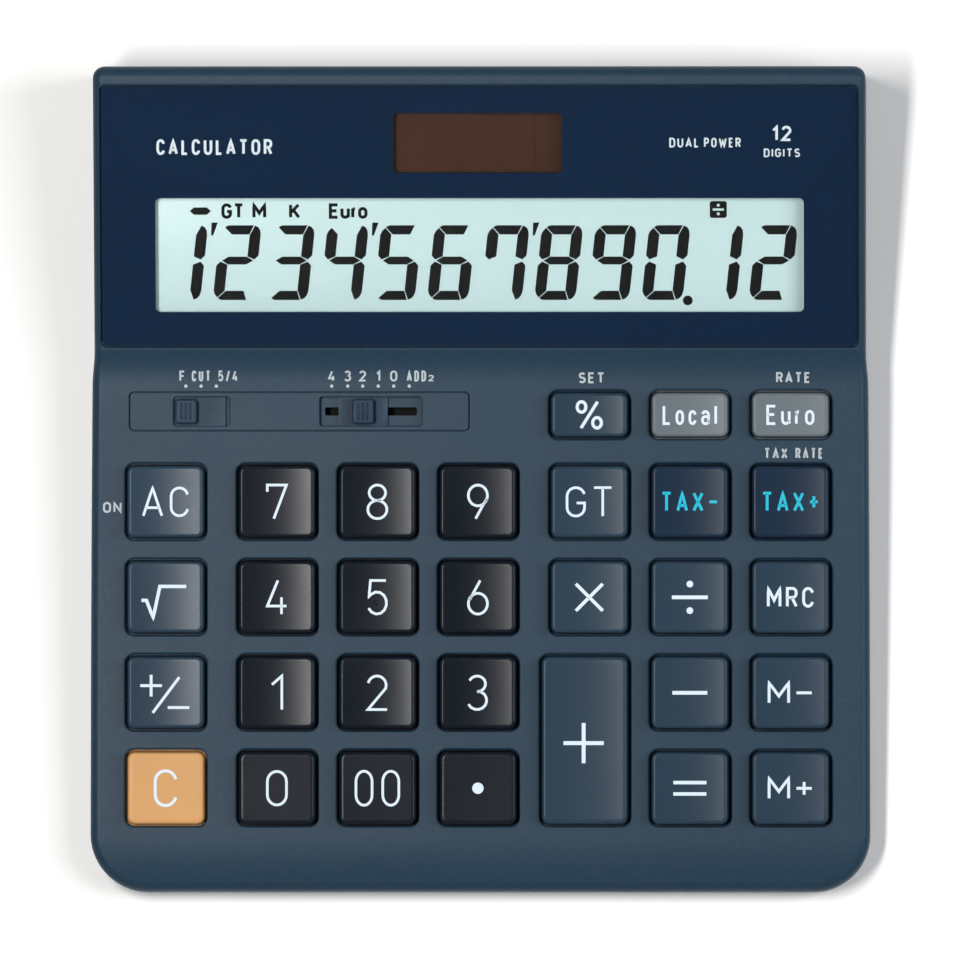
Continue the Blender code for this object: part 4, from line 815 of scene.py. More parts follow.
finishLooks = {
    "housing": {
        "colour": (0.0145, 0.0385, 0.066), "roughness": 0.42, "specular": 0.15, "spread": 0.06,
        "grainSize": 0.32 * mm, "grainDepth": 0.010 * mm, "drift": 0.03, "dust": 0.02,
    },
    "rear_housing": {
        "colour": (0.0165, 0.038, 0.062), "roughness": 0.55, "specular": 0.2, "grainSize": 0.45 * mm,
        "grainDepth": 0.018 * mm, "wear": 0.20, "worn": (0.06, 0.085, 0.11),
    },
    "number_key": keyFinish((0.0060, 0.0090, 0.0150), 0.235, 0.13, 0.30, (0.05, 0.055, 0.07)),
    "function_key": keyFinish((0.020, 0.041, 0.066), 0.28, 0.14, 0.25, (0.09, 0.13, 0.18)),
    "tax_key": keyFinish((0.0080, 0.0220, 0.0450), 0.28, 0.14, 0.25, (0.05, 0.08, 0.13)),
    "grey_key": keyFinish((0.125, 0.153, 0.172), 0.30, 0.15, 0.20, (0.32, 0.34, 0.37)),
    "clear_key": keyFinish((0.57, 0.295, 0.108), 0.30, 0.15, 0.20, (0.85, 0.60, 0.36)),
    "switch_plastic": {
        "colour": (0.013, 0.032, 0.056), "roughness": 0.34, "specular": 0.10, "grainSize": 0.25 * mm,
        "grainDepth": 0.003 * mm, "wear": 0.35, "worn": (0.10, 0.16, 0.22),
    },
    "window": {
        "colour": (0.0030, 0.0150, 0.0420), "roughness": 0.50, "specular": 0.02,
        "grainDepth": 0.001 * mm, "drift": 0.02,
    },
    "lcd": {
        "colour": (0.60, 0.76, 0.76), "roughness": 0.28, "grainSize": 0.12 * mm,
        "grainDepth": 0.0005 * mm, "drift": 0.006, "specular": 0.2,
    },
    "solar": {"colour": (0.048, 0.018, 0.010), "roughness": 0.4, "drift": 0.06, "specular": 0.05},
    "white_plastic": {
        "colour": (0.68, 0.68, 0.66), "roughness": 0.5, "wear": 0.1, "worn": (0.5, 0.5, 0.48),
    },
    "silicone": {"colour": (0.30, 0.31, 0.32), "roughness": 0.7, "grainSize": 0.6 * mm, "dust": 0.05},
    "circuit_board": {
        "colour": (0.020, 0.150, 0.060), "roughness": 0.42, "coat": 0.3, "pattern": boardPattern,
    },
    "epoxy": {
        "colour": (0.010, 0.010, 0.011), "roughness": 0.22, "grainSize": 1.5 * mm, "grainDepth": 0.05 * mm,
    },
    "ribbon": {"colour": (0.55, 0.33, 0.10), "roughness": 0.35, "pattern": ribbonPattern},
    "rubber": {
        "colour": (0.020, 0.020, 0.021), "roughness": 0.78, "grainSize": 0.5 * mm,
        "grainDepth": 0.03 * mm, "dust": 0.10,
    },
    "steel": {
        "colour": (0.58, 0.58, 0.57), "roughness": 0.28, "metallic": 1.0, "spread": 0.10,
        "grainDepth": 0.003 * mm, "wear": 0.3, "worn": (0.75, 0.75, 0.74),
    },
    "brass": {
        "colour": (0.70, 0.50, 0.22), "roughness": 0.28, "metallic": 1.0, "spread": 0.08, "drift": 0.08,
    },
    "cell_steel": {
        "colour": (0.62, 0.62, 0.60), "roughness": 0.25, "metallic": 1.0, "spread": 0.10,
        "pattern": brushedPattern,
    },
    "legendInk": inkFinish((0.64, 0.75, 0.83), 0.1),
    "taxInk": inkFinish((0.018, 0.46, 0.62), 0.1),
    "deckInk": inkFinish((0.40, 0.455, 0.485), drift=0.05),
    "windowInk": inkFinish((0.66, 0.72, 0.76), roughness=0.45),
    "segmentInk": inkFinish((0.003, 0.003, 0.003), 0.05, grainDepth=0.0005 * mm),
}
finishes = {}
for finishName, finishLook in finishLooks.items():
    finishes[finishName] = surface(finishName, finishLook, finishLook.get("pattern"))


def clearPlastic(name):
    # polished acrylic that lets light straight through to what lies behind it
    material = bpy.data.materials.new(name)
    material.use_nodes = True
    tree = material.node_tree
    shader = tree.nodes["Principled BSDF"]
    shader.inputs["Transmission Weight"].default_value = 1.0
    shader.inputs["IOR"].default_value = 1.49
    shader.inputs["Specular IOR Level"].default_value = 0.15
    tint = useGroup(tree, "tone", Colour=(0.97, 0.985, 0.985), Amount=0.002, Size=20 * mm)["Colour"]
    grain = useGroup(tree, "grain", Size=0.8 * mm, Roughness=0.02, Spread=0.008)
    tree.links.new(tint, shader.inputs["Base Color"])
    tree.links.new(grain["Roughness"], shader.inputs["Roughness"])
    through = put(tree, "ShaderNodeBsdfTransparent", (0.95, 0.97, 0.97, 1.0))
    rays = put(tree, "ShaderNodeLightPath")
    straight = sums(tree, "MAXIMUM", rays.outputs["Is Shadow Ray"], rays.outputs["Is Diffuse Ray"])
    chosen = put(tree, "ShaderNodeMixShader", straight)
    tree.links.new(shader.outputs[0], chosen.inputs[1])
    tree.links.new(through.outputs[0], chosen.inputs[2])
    tree.links.new(chosen.outputs[0], tree.nodes["Material Output"].inputs["Surface"])
    return material


finishes["clearWindow"] = clearPlastic("clearWindow")
print("finishes:", len(finishes))


# The front cover: one shell with holes for the keys, the window and the switches.
coverLook = {
    "shelfThickness": 1.4 * mm,  # under the window
    "shelfCorner": 0.2 * mm,
    "windowGap": 0.3 * mm,
    "windowLip": 0.30 * mm,
    "openingCorner": 1.0 * mm,
    "overlap": 1.8 * mm,  # the display reaches this far behind the shelf
    "solarOverlap": 0.7 * mm,
    "plateGap": 0.15 * mm,
    "plateCorner": 0.8 * mm,
    "plateLip": 0.15 * mm,
    "seatGap": 0.1 * mm,
    "recessCorner": 1.3 * mm,
    "padThickness": 1.2 * mm,
    "pocketDepth": 1.7 * mm,
    "pocketLedge": 1.2 * mm,
    "pocketWidth": 6.4 * mm,
    "pocketCorner": 0.4 * mm,
    "postRadius": 2.6 * mm,
    "pilotRadius": 1.5 * mm,
    "pilotDepth": 3.6 * mm,
    "boardPostRadius": 2.2 * mm,
    "boardPilotRadius": 1.1 * mm,
    "boardGap": 0.3 * mm,
    "slotCorner": 0.3 * mm,  # of the slots for the knobs' stems
    "slotPast": 0.3 * mm,
    "past": 1.0 * mm,  # cutters pass this far through
}


def screwCentres():
    return [boxOf(node)[0] for node in frame["nodes"] if node.startswith("case_screw")]


def makeFrontCover():
    wall, half, past = caseShape["wall"], caseShape["partingGap"] / 2, coverLook["past"]
    seam = lambda y: seamHeight(y) + half
    rings = [ringAt(wall, lambda y: topHeight(y) - wall), ringAt(wall, seam), ringAt(0.0, seam)]
    rings += edgeRings(caseShape["edgeRadius"], lambda y, drop: topHeight(y) - drop)
    steps = []

    window, windowSize = boxIn(displayFrame, "display_window")
    plate, plateSize = boxIn(deckFrame, "switch_plate")
    shelfTop = window.z - windowSize.z / 2 - coverLook["windowGap"]
    shelfLow = shelfTop - coverLook["shelfThickness"]
    seatLow = plate.z - plateSize.z / 2 - coverLook["seatGap"]
    padLow = -coverLook["pocketDepth"] - coverLook["padThickness"]

    shelves = ((displayFrame, window, windowSize, shelfLow), (deckFrame, plate, plateSize, padLow))
    for place, middle, size, low in shelves:
        joined = bmesh.new()
        row = (size.x + wall, size.y + wall, coverLook["shelfCorner"])
        stack(joined, place, middle, [(*row, low), (*row, -wall / 2)], 1)
        steps.append(("UNION", joined))
    posts, pilots = bmesh.new(), bmesh.new()
    for centre in screwCentres():
        radius, y = coverLook["postRadius"], centre.y
        cone(posts, modelFrame, centre, radius, radius, seam(y), topHeight(y) - wall / 2, 24)
        radius, tip = coverLook["pilotRadius"], seamHeight(y) + coverLook["pilotDepth"]
        cone(pilots, modelFrame, centre, radius, radius, seamHeight(y) - past, tip, 16)
    boardLow = boxIn(deckFrame, "main_board")
    boardTop = boardLow[0].z + boardLow[1].z / 2
    boardPosts, boardPilots = bmesh.new(), bmesh.new()
    for node in ("board_screw_left", "board_screw_right"):
        centre, size = boxIn(deckFrame, node)
        radius = coverLook["boardPostRadius"]
        cone(boardPosts, deckFrame, centre, radius, radius, boardTop + coverLook["boardGap"], -wall / 2, 24)
        radius = coverLook["boardPilotRadius"]
        tip = centre.z + size.z / 2 + coverLook["boardGap"]
        cone(boardPilots, deckFrame, centre, radius, radius, boardTop, tip, 16)
    steps += [("UNION", posts), ("UNION", boardPosts), ("DIFFERENCE", pilots), ("DIFFERENCE", boardPilots)]

    holes = bmesh.new()
    grow = 2 * (keyLook["clearance"] - keyLook["flangeReach"])
    corner, lip = keyLook["holeCorner"], keyLook["lip"]
    for node in keyNodes:
        centre, size = boxIn(deckFrame, node)
        rows = flaredRows(size.x + grow, size.y + grow, corner, -wall - past, past, lip)
        stack(holes, deckFrame, centre, rows)
    steps.append(("DIFFERENCE", holes))

    recess = bmesh.new()
    gap = 2 * coverLook["windowGap"]
    width, depth, corner = windowSize.x + gap, windowSize.y + gap, coverLook["recessCorner"]
    rows = flaredRows(width, depth, corner, shelfTop, past, coverLook["windowLip"])
    stack(recess, displayFrame, window, rows)
    steps.append(("DIFFERENCE", recess))
    openings = bmesh.new()
    for node, overlap in (("lcd_panel", coverLook["overlap"]), ("solar_cell", coverLook["solarOverlap"])):
        centre, size = boxIn(displayFrame, node)
        row = (size.x - 2 * overlap, size.y - 2 * overlap, coverLook["openingCorner"])
        stack(openings, displayFrame, centre, [(*row, shelfLow - past), (*row, shelfTop + past)])
    steps.append(("DIFFERENCE", openings))

    seat = bmesh.new()
    gap = 2 * coverLook["plateGap"]
    corner = coverLook["plateCorner"] + coverLook["plateGap"]
    width, depth = plateSize.x + gap, plateSize.y + gap
    rows = flaredRows(width, depth, corner, seatLow, past, coverLook["plateLip"])
    stack(seat, deckFrame, plate, rows)
    steps.append(("DIFFERENCE", seat))
    pocket = bmesh.new()
    pocketLow, slotPast = -coverLook["pocketDepth"], coverLook["slotPast"]
    width, corner = plateSize.x - 2 * coverLook["pocketLedge"], coverLook["pocketCorner"]
    row = (width, coverLook["pocketWidth"], corner)
    stack(pocket, deckFrame, plate, [(*row, pocketLow), (*row, seatLow + slotPast)], 3)
    steps.append(("DIFFERENCE", pocket))
    stems = bmesh.new()
    for switch in switches.values():
        gap = 2 * switchLook["stemGap"]
        width, depth = switchLook["stem"]
        row = (switch["travel"] + width + gap, depth + gap, coverLook["slotCorner"])
        low, high = padLow - past, pocketLow + slotPast
        stack(stems, deckFrame, (switch["middle"], plate.y), [(*row, low), (*row, high)], 2)
    steps.append(("DIFFERENCE", stems))

    mesh = smoothed(combined(meshOf(caseLoft(rings)), steps), 32, weighted=True)
    addPiece("frontCover", mesh, finishes["housing"], nodes=["front_cover"])
    print("front cover:", len(mesh.polygons), "faces")


# Where each switch's slot lies: the knob's travel comes from its joint's range.
switchLook = {
    "slotWidth": 5.6 * mm,
    "slack": 0.3 * mm,
    "slotCorner": 0.5 * mm,
    "knobSize": (4.2 * mm, 4.8 * mm),
    "knobCorner": 0.6 * mm,
    "knobEdge": 0.45 * mm,
    "leafGap": 0.2 * mm,
    "leafThickness": 0.6 * mm,
    "stem": (2.4 * mm, 1.2 * mm),
    "stemGap": 0.2 * mm,
    "leafCorner": 0.3 * mm,
    "bevel": 0.15 * mm,  # round the plate and the slots in it
    # the contact strip is black and also paints shade under each knob's slot
    "strip": (6.0 * mm, 3.2 * mm, 0.4 * mm),  # longer than the travel by this, width, corner
    "stripThickness": 0.05 * mm,
    "ridges": {"Count": 3, "Step": 0.85 * mm, "Width": 0.42 * mm, "Length": 3.4 * mm, "Height": 0.28 * mm},
}
switches = {}
for joint in frame["joints"]:
    if not joint["child"].endswith("_knob"):
        continue
    knob = joint["child"]
    restX = sum(point.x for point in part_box(knob)) / 2
    first, last = (restX + reach for reach in joint["range_m"])
    switches[knob] = {"rest": restX, "travel": last - first, "middle": (first + last) / 2}


# The rear cover, with its screw wells, foot recesses and battery hatch.
rearLook = {
    "boreRadius": 2.8 * mm,
    "boreLip": 0.25 * mm,
    "bossWall": 1.0 * mm,
    "clamp": 1.8 * mm,  # between a screw's seat and the seam
    "footGap": 0.3 * mm,
    "footDepth": 1.8 * mm,
    "hatchGap": 0.3 * mm,
    "hatchCorner": 1.1 * mm,
    "hatchLip": 0.2 * mm,
    "wellWall": 1.2 * mm,
    "wellCorner": 0.6 * mm,
    "wellHeight": 8.6 * mm,
    "postRadius": 2.3 * mm,
    "postRise": 3.0 * mm,
    "postHole": 1.2 * mm,
    "postRoof": 0.3 * mm,
    "ledge": 1.5 * mm,
    "shaftGap": 1.5 * mm,
    "past": 1.0 * mm,
}
# the battery hatch, with a row of grip ridges and a well for its screw
hatchLook = {
    "thickness": 1.5 * mm,
    "corner": 0.8 * mm,
    "edge": 0.3 * mm,
    "topEdge": 0.05 * mm,
    "bossRadius": 3.3 * mm,
    "bossLow": 0.75 * mm,
    "boreRadius": 2.3 * mm,
    "boreRoof": 1.0 * mm,
    "holeRadius": 1.2 * mm,
    "holePast": 1.0 * mm,
    "ridges": {"Count": 5, "Step": 1.5 * mm, "Width": 0.7 * mm, "Length": 9.0 * mm, "Height": 0.25 * mm},
    "ridgesFromEnd": 6.0 * mm,
    "ridgesRise": 0.28 * mm,
}
tableUp = Matrix.Translation((0, 0, standHeight))
footNodes = sorted(node for node in frame["nodes"] if node.startswith("foot_"))


def upsideDown(rows):
    # the same cutter, opening downwards
    return [(width, depth, corner, -z) for width, depth, corner, z in reversed(rows)]


def boreRows(radius, top):
    side = 2 * radius
    lip, past = rearLook["boreLip"], rearLook["past"]
    return upsideDown(flaredRows(side, side, radius - 0.001 * mm, -top, past, lip))


def makeRearCover():
    wall, half, past = caseShape["wall"], caseShape["partingGap"] / 2, rearLook["past"]
    seam = lambda y: seamHeight(y) - half
    floorTop = lambda y: standHeight + caseShape["floor"]
    rings = [ringAt(wall, floorTop), ringAt(wall, seam), ringAt(0.0, seam)]
    rings += edgeRings(caseShape["bottomRadius"], lambda y, drop: standHeight + drop)
    bosses, wells, shafts, feet = (bmesh.new() for _ in range(4))
    for centre in screwCentres():
        y, radius = centre.y, rearLook["boreRadius"]
        seatHeight = seam(y) - rearLook["clamp"]
        boss = radius + rearLook["bossWall"]
        cone(bosses, modelFrame, centre, boss, boss, standHeight + caseShape["floor"] / 2, seam(y), 32)
        stack(wells, tableUp, centre, boreRows(radius, seatHeight - standHeight), 8)
        radius = rearLook["shaftGap"]
        cone(shafts, modelFrame, centre, radius, radius, seatHeight - past, seamHeight(y) + past, 24)
    for node in footNodes:
        centre, size = boxOf(node)
        rows = boreRows(size.x / 2 + rearLook["footGap"], rearLook["footDepth"] - standHeight)
        stack(feet, tableUp, centre, rows, 12)

    hatch, size = boxOf("battery_cover")
    lidTop, gap, ledge = hatchLook["thickness"], rearLook["hatchGap"], rearLook["ledge"]
    well, seat, inside, post, postHole = (bmesh.new() for _ in range(5))
    wellWall, wellTop, corner = rearLook["wellWall"], rearLook["wellHeight"], rearLook["wellCorner"]
    lip = 2 * (wellWall + gap)
    row = (size.x + lip, size.y + lip, corner)
    stack(well, tableUp, hatch, [(*row, caseShape["floor"] / 2), (*row, wellTop + wellWall)], 2)
    width, depth = size.x + 2 * gap, size.y + 2 * gap
    lip = rearLook["hatchLip"]
    rows = flaredRows(width, depth, rearLook["hatchCorner"], -lidTop - gap, past, lip)
    stack(seat, tableUp, hatch, upsideDown(rows))
    row = (size.x - 2 * ledge, size.y - 2 * ledge, corner)
    stack(inside, tableUp, hatch, [(*row, lidTop), (*row, wellTop)], 3)
    screwAt = boxOf("battery_cover_screw")[0]
    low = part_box("battery_cover_screw")[0].z - standHeight + rearLook["postRise"]
    radius = rearLook["postRadius"]
    cone(post, tableUp, screwAt, radius, radius, low, wellTop + wellWall / 2, 24)
    radius = rearLook["postHole"]
    cone(postHole, tableUp, screwAt, radius, radius, low - past, wellTop - rearLook["postRoof"], 16)
    steps = [("UNION", bosses), ("UNION", well), ("DIFFERENCE", wells), ("DIFFERENCE", shafts)]
    steps += [("DIFFERENCE", feet), ("DIFFERENCE", seat), ("DIFFERENCE", inside)]
    steps += [("UNION", post), ("DIFFERENCE", postHole)]
    mesh = smoothed(combined(meshOf(caseLoft(rings)), steps), 32, weighted=True)
    addPiece("rearCover", mesh, finishes["rear_housing"], nodes=["rear_cover"])
    print("rear cover:", len(mesh.polygons), "faces")


def rowOfPieces(tree, count, step, piece):
    # the piece set out count times along X, in steps, about the middle
    line = put(tree, "GeometryNodeMeshLine", mode="OFFSET")
    tree.links.new(count, line.inputs["Count"])
    tree.links.new(step, line.inputs["Offset"])
    places = sums(tree, "MULTIPLY", sums(tree, "SUBTRACT", count, 1.0), -0.5)
    tree.links.new(scaled(tree, step, places), line.inputs["Start Location"])
    return setOnPoints(tree, line.outputs[0], piece)


def setOnPoints(tree, points, piece):
    row = put(tree, "GeometryNodeInstanceOnPoints")
    tree.links.new(points, row.inputs["Points"])
    tree.links.new(piece, row.inputs["Instance"])
    return row.outputs[0]


def ridgeTree():
    # a row of rounded ridges, set out along X from the middle of the piece
    inputs = [("Count", "Int", 3), ("Step", "Float", 1.0 * mm), ("Width", "Float", 0.5 * mm)]
    inputs += [("Length", "Float", 4.0 * mm), ("Height", "Float", 0.3 * mm), ("Finish", "Material", None)]
    tree, given = newGeometryTree("gripRidges", inputs)
    # one ridge is a half round bar with round ends, sunk to half its height
    bar = put(tree, "GeometryNodeMeshUVSphere", 16, 8, 0.5).outputs["Mesh"]
    place = put(tree, "GeometryNodeInputPosition").outputs[0]
    parts = splitXyz(tree, place)
    side = sums(tree, "SIGN", parts[1])
    straight = sums(tree, "MULTIPLY", side, sums(tree, "SUBTRACT", given["Length"], given["Width"]))
    x = sums(tree, "MULTIPLY", parts[0], given["Width"])
    y = sums(tree, "MULTIPLY_ADD", parts[1], given["Width"], sums(tree, "MULTIPLY", straight, 0.5))
    z = sums(tree, "MULTIPLY", parts[2], sums(tree, "MULTIPLY", given["Height"], 2.0))
    ridge = put(tree, "GeometryNodeSetPosition", bar, None, joinXyz(tree, x, y, z)).outputs[0]
    row = rowOfPieces(tree, given["Count"], joinXyz(tree, given["Step"], 0.0, 0.0), ridge)
    return finishTree(tree, row, given["Finish"])


# Cross-head screws: pan heads with a cross recess and a threaded shaft, set on a mesh of points.
def screwSizes(headRadius, headHeight, shaft, cross):
    return {"Head Radius": headRadius, "Head Height": headHeight, "Shaft Radius": shaft, "Cross": cross}


screwLook = {
    # names of the nodes, the frame that they stand square to, sizes
    "sets": {
        "case": ("case_screw", modelFrame, screwSizes(2.5 * mm, 1.4 * mm, 1.2 * mm, 2.9 * mm)),
        "hatch": ("battery_cover_screw", modelFrame, screwSizes(2.0 * mm, 1.0 * mm, 0.9 * mm, 2.3 * mm)),
        "board": ("board_screw", deckFrame, screwSizes(2.2 * mm, 0.9 * mm, 0.8 * mm, 2.4 * mm)),
    },
    "shared": {"Cross Width": 0.62 * mm, "Pitch": 0.8 * mm, "Thread": 0.16 * mm},
    "sink": 0.1 * mm,  # the shaft starts this far inside the head
}


def screwTree():
    # the head points down; the shaft's threads are a ribbed tube that tapers at its tip
    sizes = ["Head Radius", "Head Height", "Shaft Radius", "Length", "Cross"]
    sizes += ["Cross Width", "Pitch", "Thread"]
    inputs = [("Points", "Geometry", None), *((label, "Float", 1.0 * mm) for label in sizes)]
    tree, given = newGeometryTree("crossHeadScrew", inputs + [("Finish", "Material", None)])
    place = put(tree, "GeometryNodeInputPosition").outputs[0]

    # head: a ball cut off flat where it bears, bulging downwards
    ball = put(tree, "GeometryNodeMeshUVSphere", 32, 16, 1.0).outputs["Mesh"]
    parts = splitXyz(tree, place)
    size = joinXyz(tree, given["Head Radius"], given["Head Radius"], given["Head Height"])
    dome = joinXyz(tree, parts[0], parts[1], sums(tree, "MINIMUM", parts[2], 0.0))
    shaped = vectors(tree, "MULTIPLY", dome, size)
    head = put(tree, "GeometryNodeSetPosition", ball, None, shaped).outputs[0]

    cut = put(tree, "GeometryNodeMeshBoolean", operation="DIFFERENCE")
    tree.links.new(head, cut.inputs["Mesh 1"])
    deep = sums(tree, "MULTIPLY", given["Head Height"], 1.4)
    down = joinXyz(tree, 0.0, 0.0, sums(tree, "MULTIPLY", given["Head Height"], -1.05))
    for first, second in (("Cross", "Cross Width"), ("Cross Width", "Cross")):
        block = joinXyz(tree, given[first], given[second], deep)
        bar = put(tree, "GeometryNodeMeshCube", block, 2, 2, 2).outputs["Mesh"]
        sunk = put(tree, "GeometryNodeTransform", bar)
        for socket in ("Translation", "Rotation"):  # turned a hair too, so that its edges miss the ball's
            tree.links.new(down, sunk.inputs[socket])
        tree.links.new(sunk.outputs[0], cut.inputs["Mesh 2"])

    # shaft: a tube whose radius ripples once a pitch and shrinks at the tip
    tube = put(tree, "GeometryNodeMeshCylinder", 20, 44, 1).outputs["Mesh"]
    parts = splitXyz(tree, place)
    along = sums(tree, "ADD", sums(tree, "MULTIPLY", parts[2], 0.5), 0.5)
    height = sums(tree, "MULTIPLY", along, given["Length"])
    turns = sums(tree, "DIVIDE", height, given["Pitch"])
    wave = sums(tree, "COSINE", sums(tree, "MULTIPLY", turns, 2 * math.pi))
    ripple = sums(tree, "MULTIPLY", wave, given["Thread"])
    taper = clamped(tree, along, 0.82, 1.0, 1.0, 0.45)
    core = sums(tree, "SUBTRACT", given["Shaft Radius"], given["Thread"])
    radius = sums(tree, "MULTIPLY", sums(tree, "ADD", core, ripple), taper)
    x, y = (sums(tree, "MULTIPLY", parts[i], radius) for i in range(2))
    shaped = joinXyz(tree, x, y, sums(tree, "SUBTRACT", height, screwLook["sink"]))
    shaft = put(tree, "GeometryNodeSetPosition", tube, None, shaped).outputs[0]
    whole = tree.nodes.new("GeometryNodeJoinGeometry")
    tree.links.new(cut.outputs[0], whole.inputs[0])
    tree.links.new(shaft, whole.inputs[0])
    return finishTree(tree, setOnPoints(tree, given["Points"], whole.outputs[0]), given["Finish"])


def makeScrews():
    tree = screwTree()
    for kind, (prefix, place, sizes) in screwLook["sets"].items():
        nodes = [node for node in frame["nodes"] if node.startswith(prefix)]
        values = {**screwLook["shared"], **sizes, "Finish": finishes["steel"]}
        shape = bmesh.new()
        for node in nodes:
            centre, size = boxIn(place, node)
            bearing = centre.z - size.z / 2 + sizes["Head Height"]
            shape.verts.new((centre.x, centre.y, bearing))
            values["Length"] = size.z - sizes["Head Height"]
        mesh = runTree(tree, values, meshOf(shape))
        mesh.transform(place)
        addPiece(kind + "Screws", smoothed(mesh, 40), finishes["steel"], nodes=nodes)
    print("screws made")


def makeHatch(ridges):
    centre, size = boxOf("battery_cover")
    low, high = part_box("battery_cover")
    corner, edge, topEdge = hatchLook["corner"], hatchLook["edge"], hatchLook["topEdge"]
    lid, boss, bore, hole = (bmesh.new() for _ in range(4))
    rows = softRows(size.x, size.y, corner, 0.0, hatchLook["thickness"], topEdge, 2, bottomEdge=edge)
    stack(lid, tableUp, centre, rows)
    screwAt = boxOf("battery_cover_screw")[0]
    top, radius = high.z - standHeight, hatchLook["bossRadius"]
    cone(boss, tableUp, screwAt, radius, radius, hatchLook["bossLow"], top)
    stack(bore, tableUp, screwAt, boreRows(hatchLook["boreRadius"], top - hatchLook["boreRoof"]), 8)
    radius = hatchLook["holeRadius"]
    cone(hole, tableUp, screwAt, radius, radius, 0.0, top + hatchLook["holePast"], 20)
    steps = [("UNION", boss), ("DIFFERENCE", bore), ("DIFFERENCE", hole)]
    mesh = smoothed(combined(meshOf(lid), steps), 35, weighted=True)
    addPiece("batteryHatch", mesh, finishes["rear_housing"], nodes=["battery_cover"])
    grip = runTree(ridges, {**hatchLook["ridges"], "Finish": finishes["rear_housing"]})
    place = (low.x + hatchLook["ridgesFromEnd"], centre.y, standHeight + hatchLook["ridgesRise"])
    grip.transform(Matrix.Translation(place))
    addPiece("hatchRidges", smoothed(grip, 60), finishes["rear_housing"])


# Feet: rubber discs with a rounded rim and a shallow ring groove underneath.
footLook = {
    "rim": 0.45 * mm,
    "grooveRadius": 3.4 * mm,
    "grooveWidth": 0.5 * mm,
    "grooveDepth": 0.3 * mm,
    "sides": 48,
}


def makeFeet():
    rim, groove = footLook["rim"], footLook["grooveRadius"]
    width, depth, sides = footLook["grooveWidth"], footLook["grooveDepth"], footLook["sides"]
    turns = [2 * math.pi * side / sides for side in range(sides)]
    for node in footNodes:
        centre, size = boxOf(node)
        centre.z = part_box(node)[0].z
        radius = size.x / 2
        profile = []
        for i in range(5):
            profile.append((groove - width / 2 + width * i / 4, depth * math.sin(math.pi * i / 4)))
        for step in range(7):
            angle = math.pi / 2 * step / 6
            profile.append((radius - rim * (1 - math.sin(angle)), rim * (1 - math.cos(angle))))
        profile.append((radius, size.z))
        shape, rings = bmesh.new(), []
        for reach, height in profile:
            ring = [Vector((reach * math.cos(turn), reach * math.sin(turn), height)) for turn in turns]
            rings.append([shape.verts.new(centre + point) for point in ring])
        for lower, upper in zip(rings, rings[1:]):
            for i in range(sides):
                shape.faces.new((lower[i], lower[(i + 1) % sides], upper[(i + 1) % sides], upper[i]))
        shape.faces.new(rings[0][::-1])
        shape.faces.new(rings[-1])
        name, mesh = node.replace("foot_", "rubberFoot_"), smoothed(meshOf(shape), 50)
        addPiece(name, mesh, finishes["rubber"], nodes=[node])
    print("feet made")


# The display: a clear window over a printed sheet, with the LCD and the solar cell behind its openings.
windowLook = {
    "lensThickness": 0.9 * mm,
    "lensEdge": 0.18 * mm,
    "lensBottomEdge": 0.1 * mm,
    "corner": 1.0 * mm,
    "printGap": 0.06 * mm,
    "printThickness": 0.45 * mm,
    "printInset": 0.1 * mm,
    "past": 1.0 * mm,
    "lcdOpening": (0.0, 18.53 * mm, 125.4 * mm, 22.4 * mm, 1.0 * mm),  # centre, size, corner
    "solarOpening": (-0.3 * mm, 40.5 * mm, 32.7 * mm, 11.8 * mm, 0.9 * mm),
}


def makeWindow():
    centre, size = boxIn(displayFrame, "display_window")
    top = centre.z + size.z / 2
    lensLow = top - windowLook["lensThickness"]
    lens, corner = bmesh.new(), windowLook["corner"]
    edge, bottomEdge = windowLook["lensEdge"], windowLook["lensBottomEdge"]
    rows = softRows(size.x, size.y, corner, lensLow, top, edge, 3, bottomEdge)
    stack(lens, displayFrame, centre, rows)
    lensMesh = smoothed(meshOf(lens), 50, weighted=True)
    addPiece("windowLens", lensMesh, finishes["clearWindow"], nodes=["display_window"])

    sheetTop = lensLow - windowLook["printGap"]
    sheetLow = sheetTop - windowLook["printThickness"]
    sheet, cuts = bmesh.new(), bmesh.new()
    inset, past = 2 * windowLook["printInset"], windowLook["past"]
    row = (size.x - inset, size.y - inset, corner)
    stack(sheet, displayFrame, centre, [(*row, sheetLow), (*row, sheetTop)])
    for x, y, *row in (windowLook["lcdOpening"], windowLook["solarOpening"]):
        stack(cuts, displayFrame, (x, y), [(*row, sheetLow - past), (*row, sheetTop + past)], 8)
    mesh = smoothed(combined(meshOf(sheet), [("DIFFERENCE", cuts)]), 40, weighted=True)
    addPiece("windowPrint", mesh, finishes["window"])
    return sheetTop


# Solar cell: brown cells side by side on a thin glass plate, with fine gaps and a bus strip at each end.
solarLook = {
    "cells": 5,
    "gap": 0.12 * mm,
    "strip": 0.5 * mm,
    "thickness": 0.06 * mm,
    "corner": 0.3 * mm,
    "edge": 0.1 * mm,
}


def cellTree():
    inputs = [("Count", "Int", 5), ("Pitch", "Float", 7 * mm), ("Width", "Float", 6.8 * mm)]
    inputs += [("Depth", "Float", 14 * mm), ("Thickness", "Float", 0.05 * mm), ("Finish", "Material", None)]
    tree, given = newGeometryTree("cellRow", inputs)
    size = joinXyz(tree, given["Width"], given["Depth"], given["Thickness"])
    cell = put(tree, "GeometryNodeMeshCube", size, 2, 2, 2).outputs["Mesh"]
    row = rowOfPieces(tree, given["Count"], joinXyz(tree, given["Pitch"], 0.0, 0.0), cell)
    return finishTree(tree, row, given["Finish"])


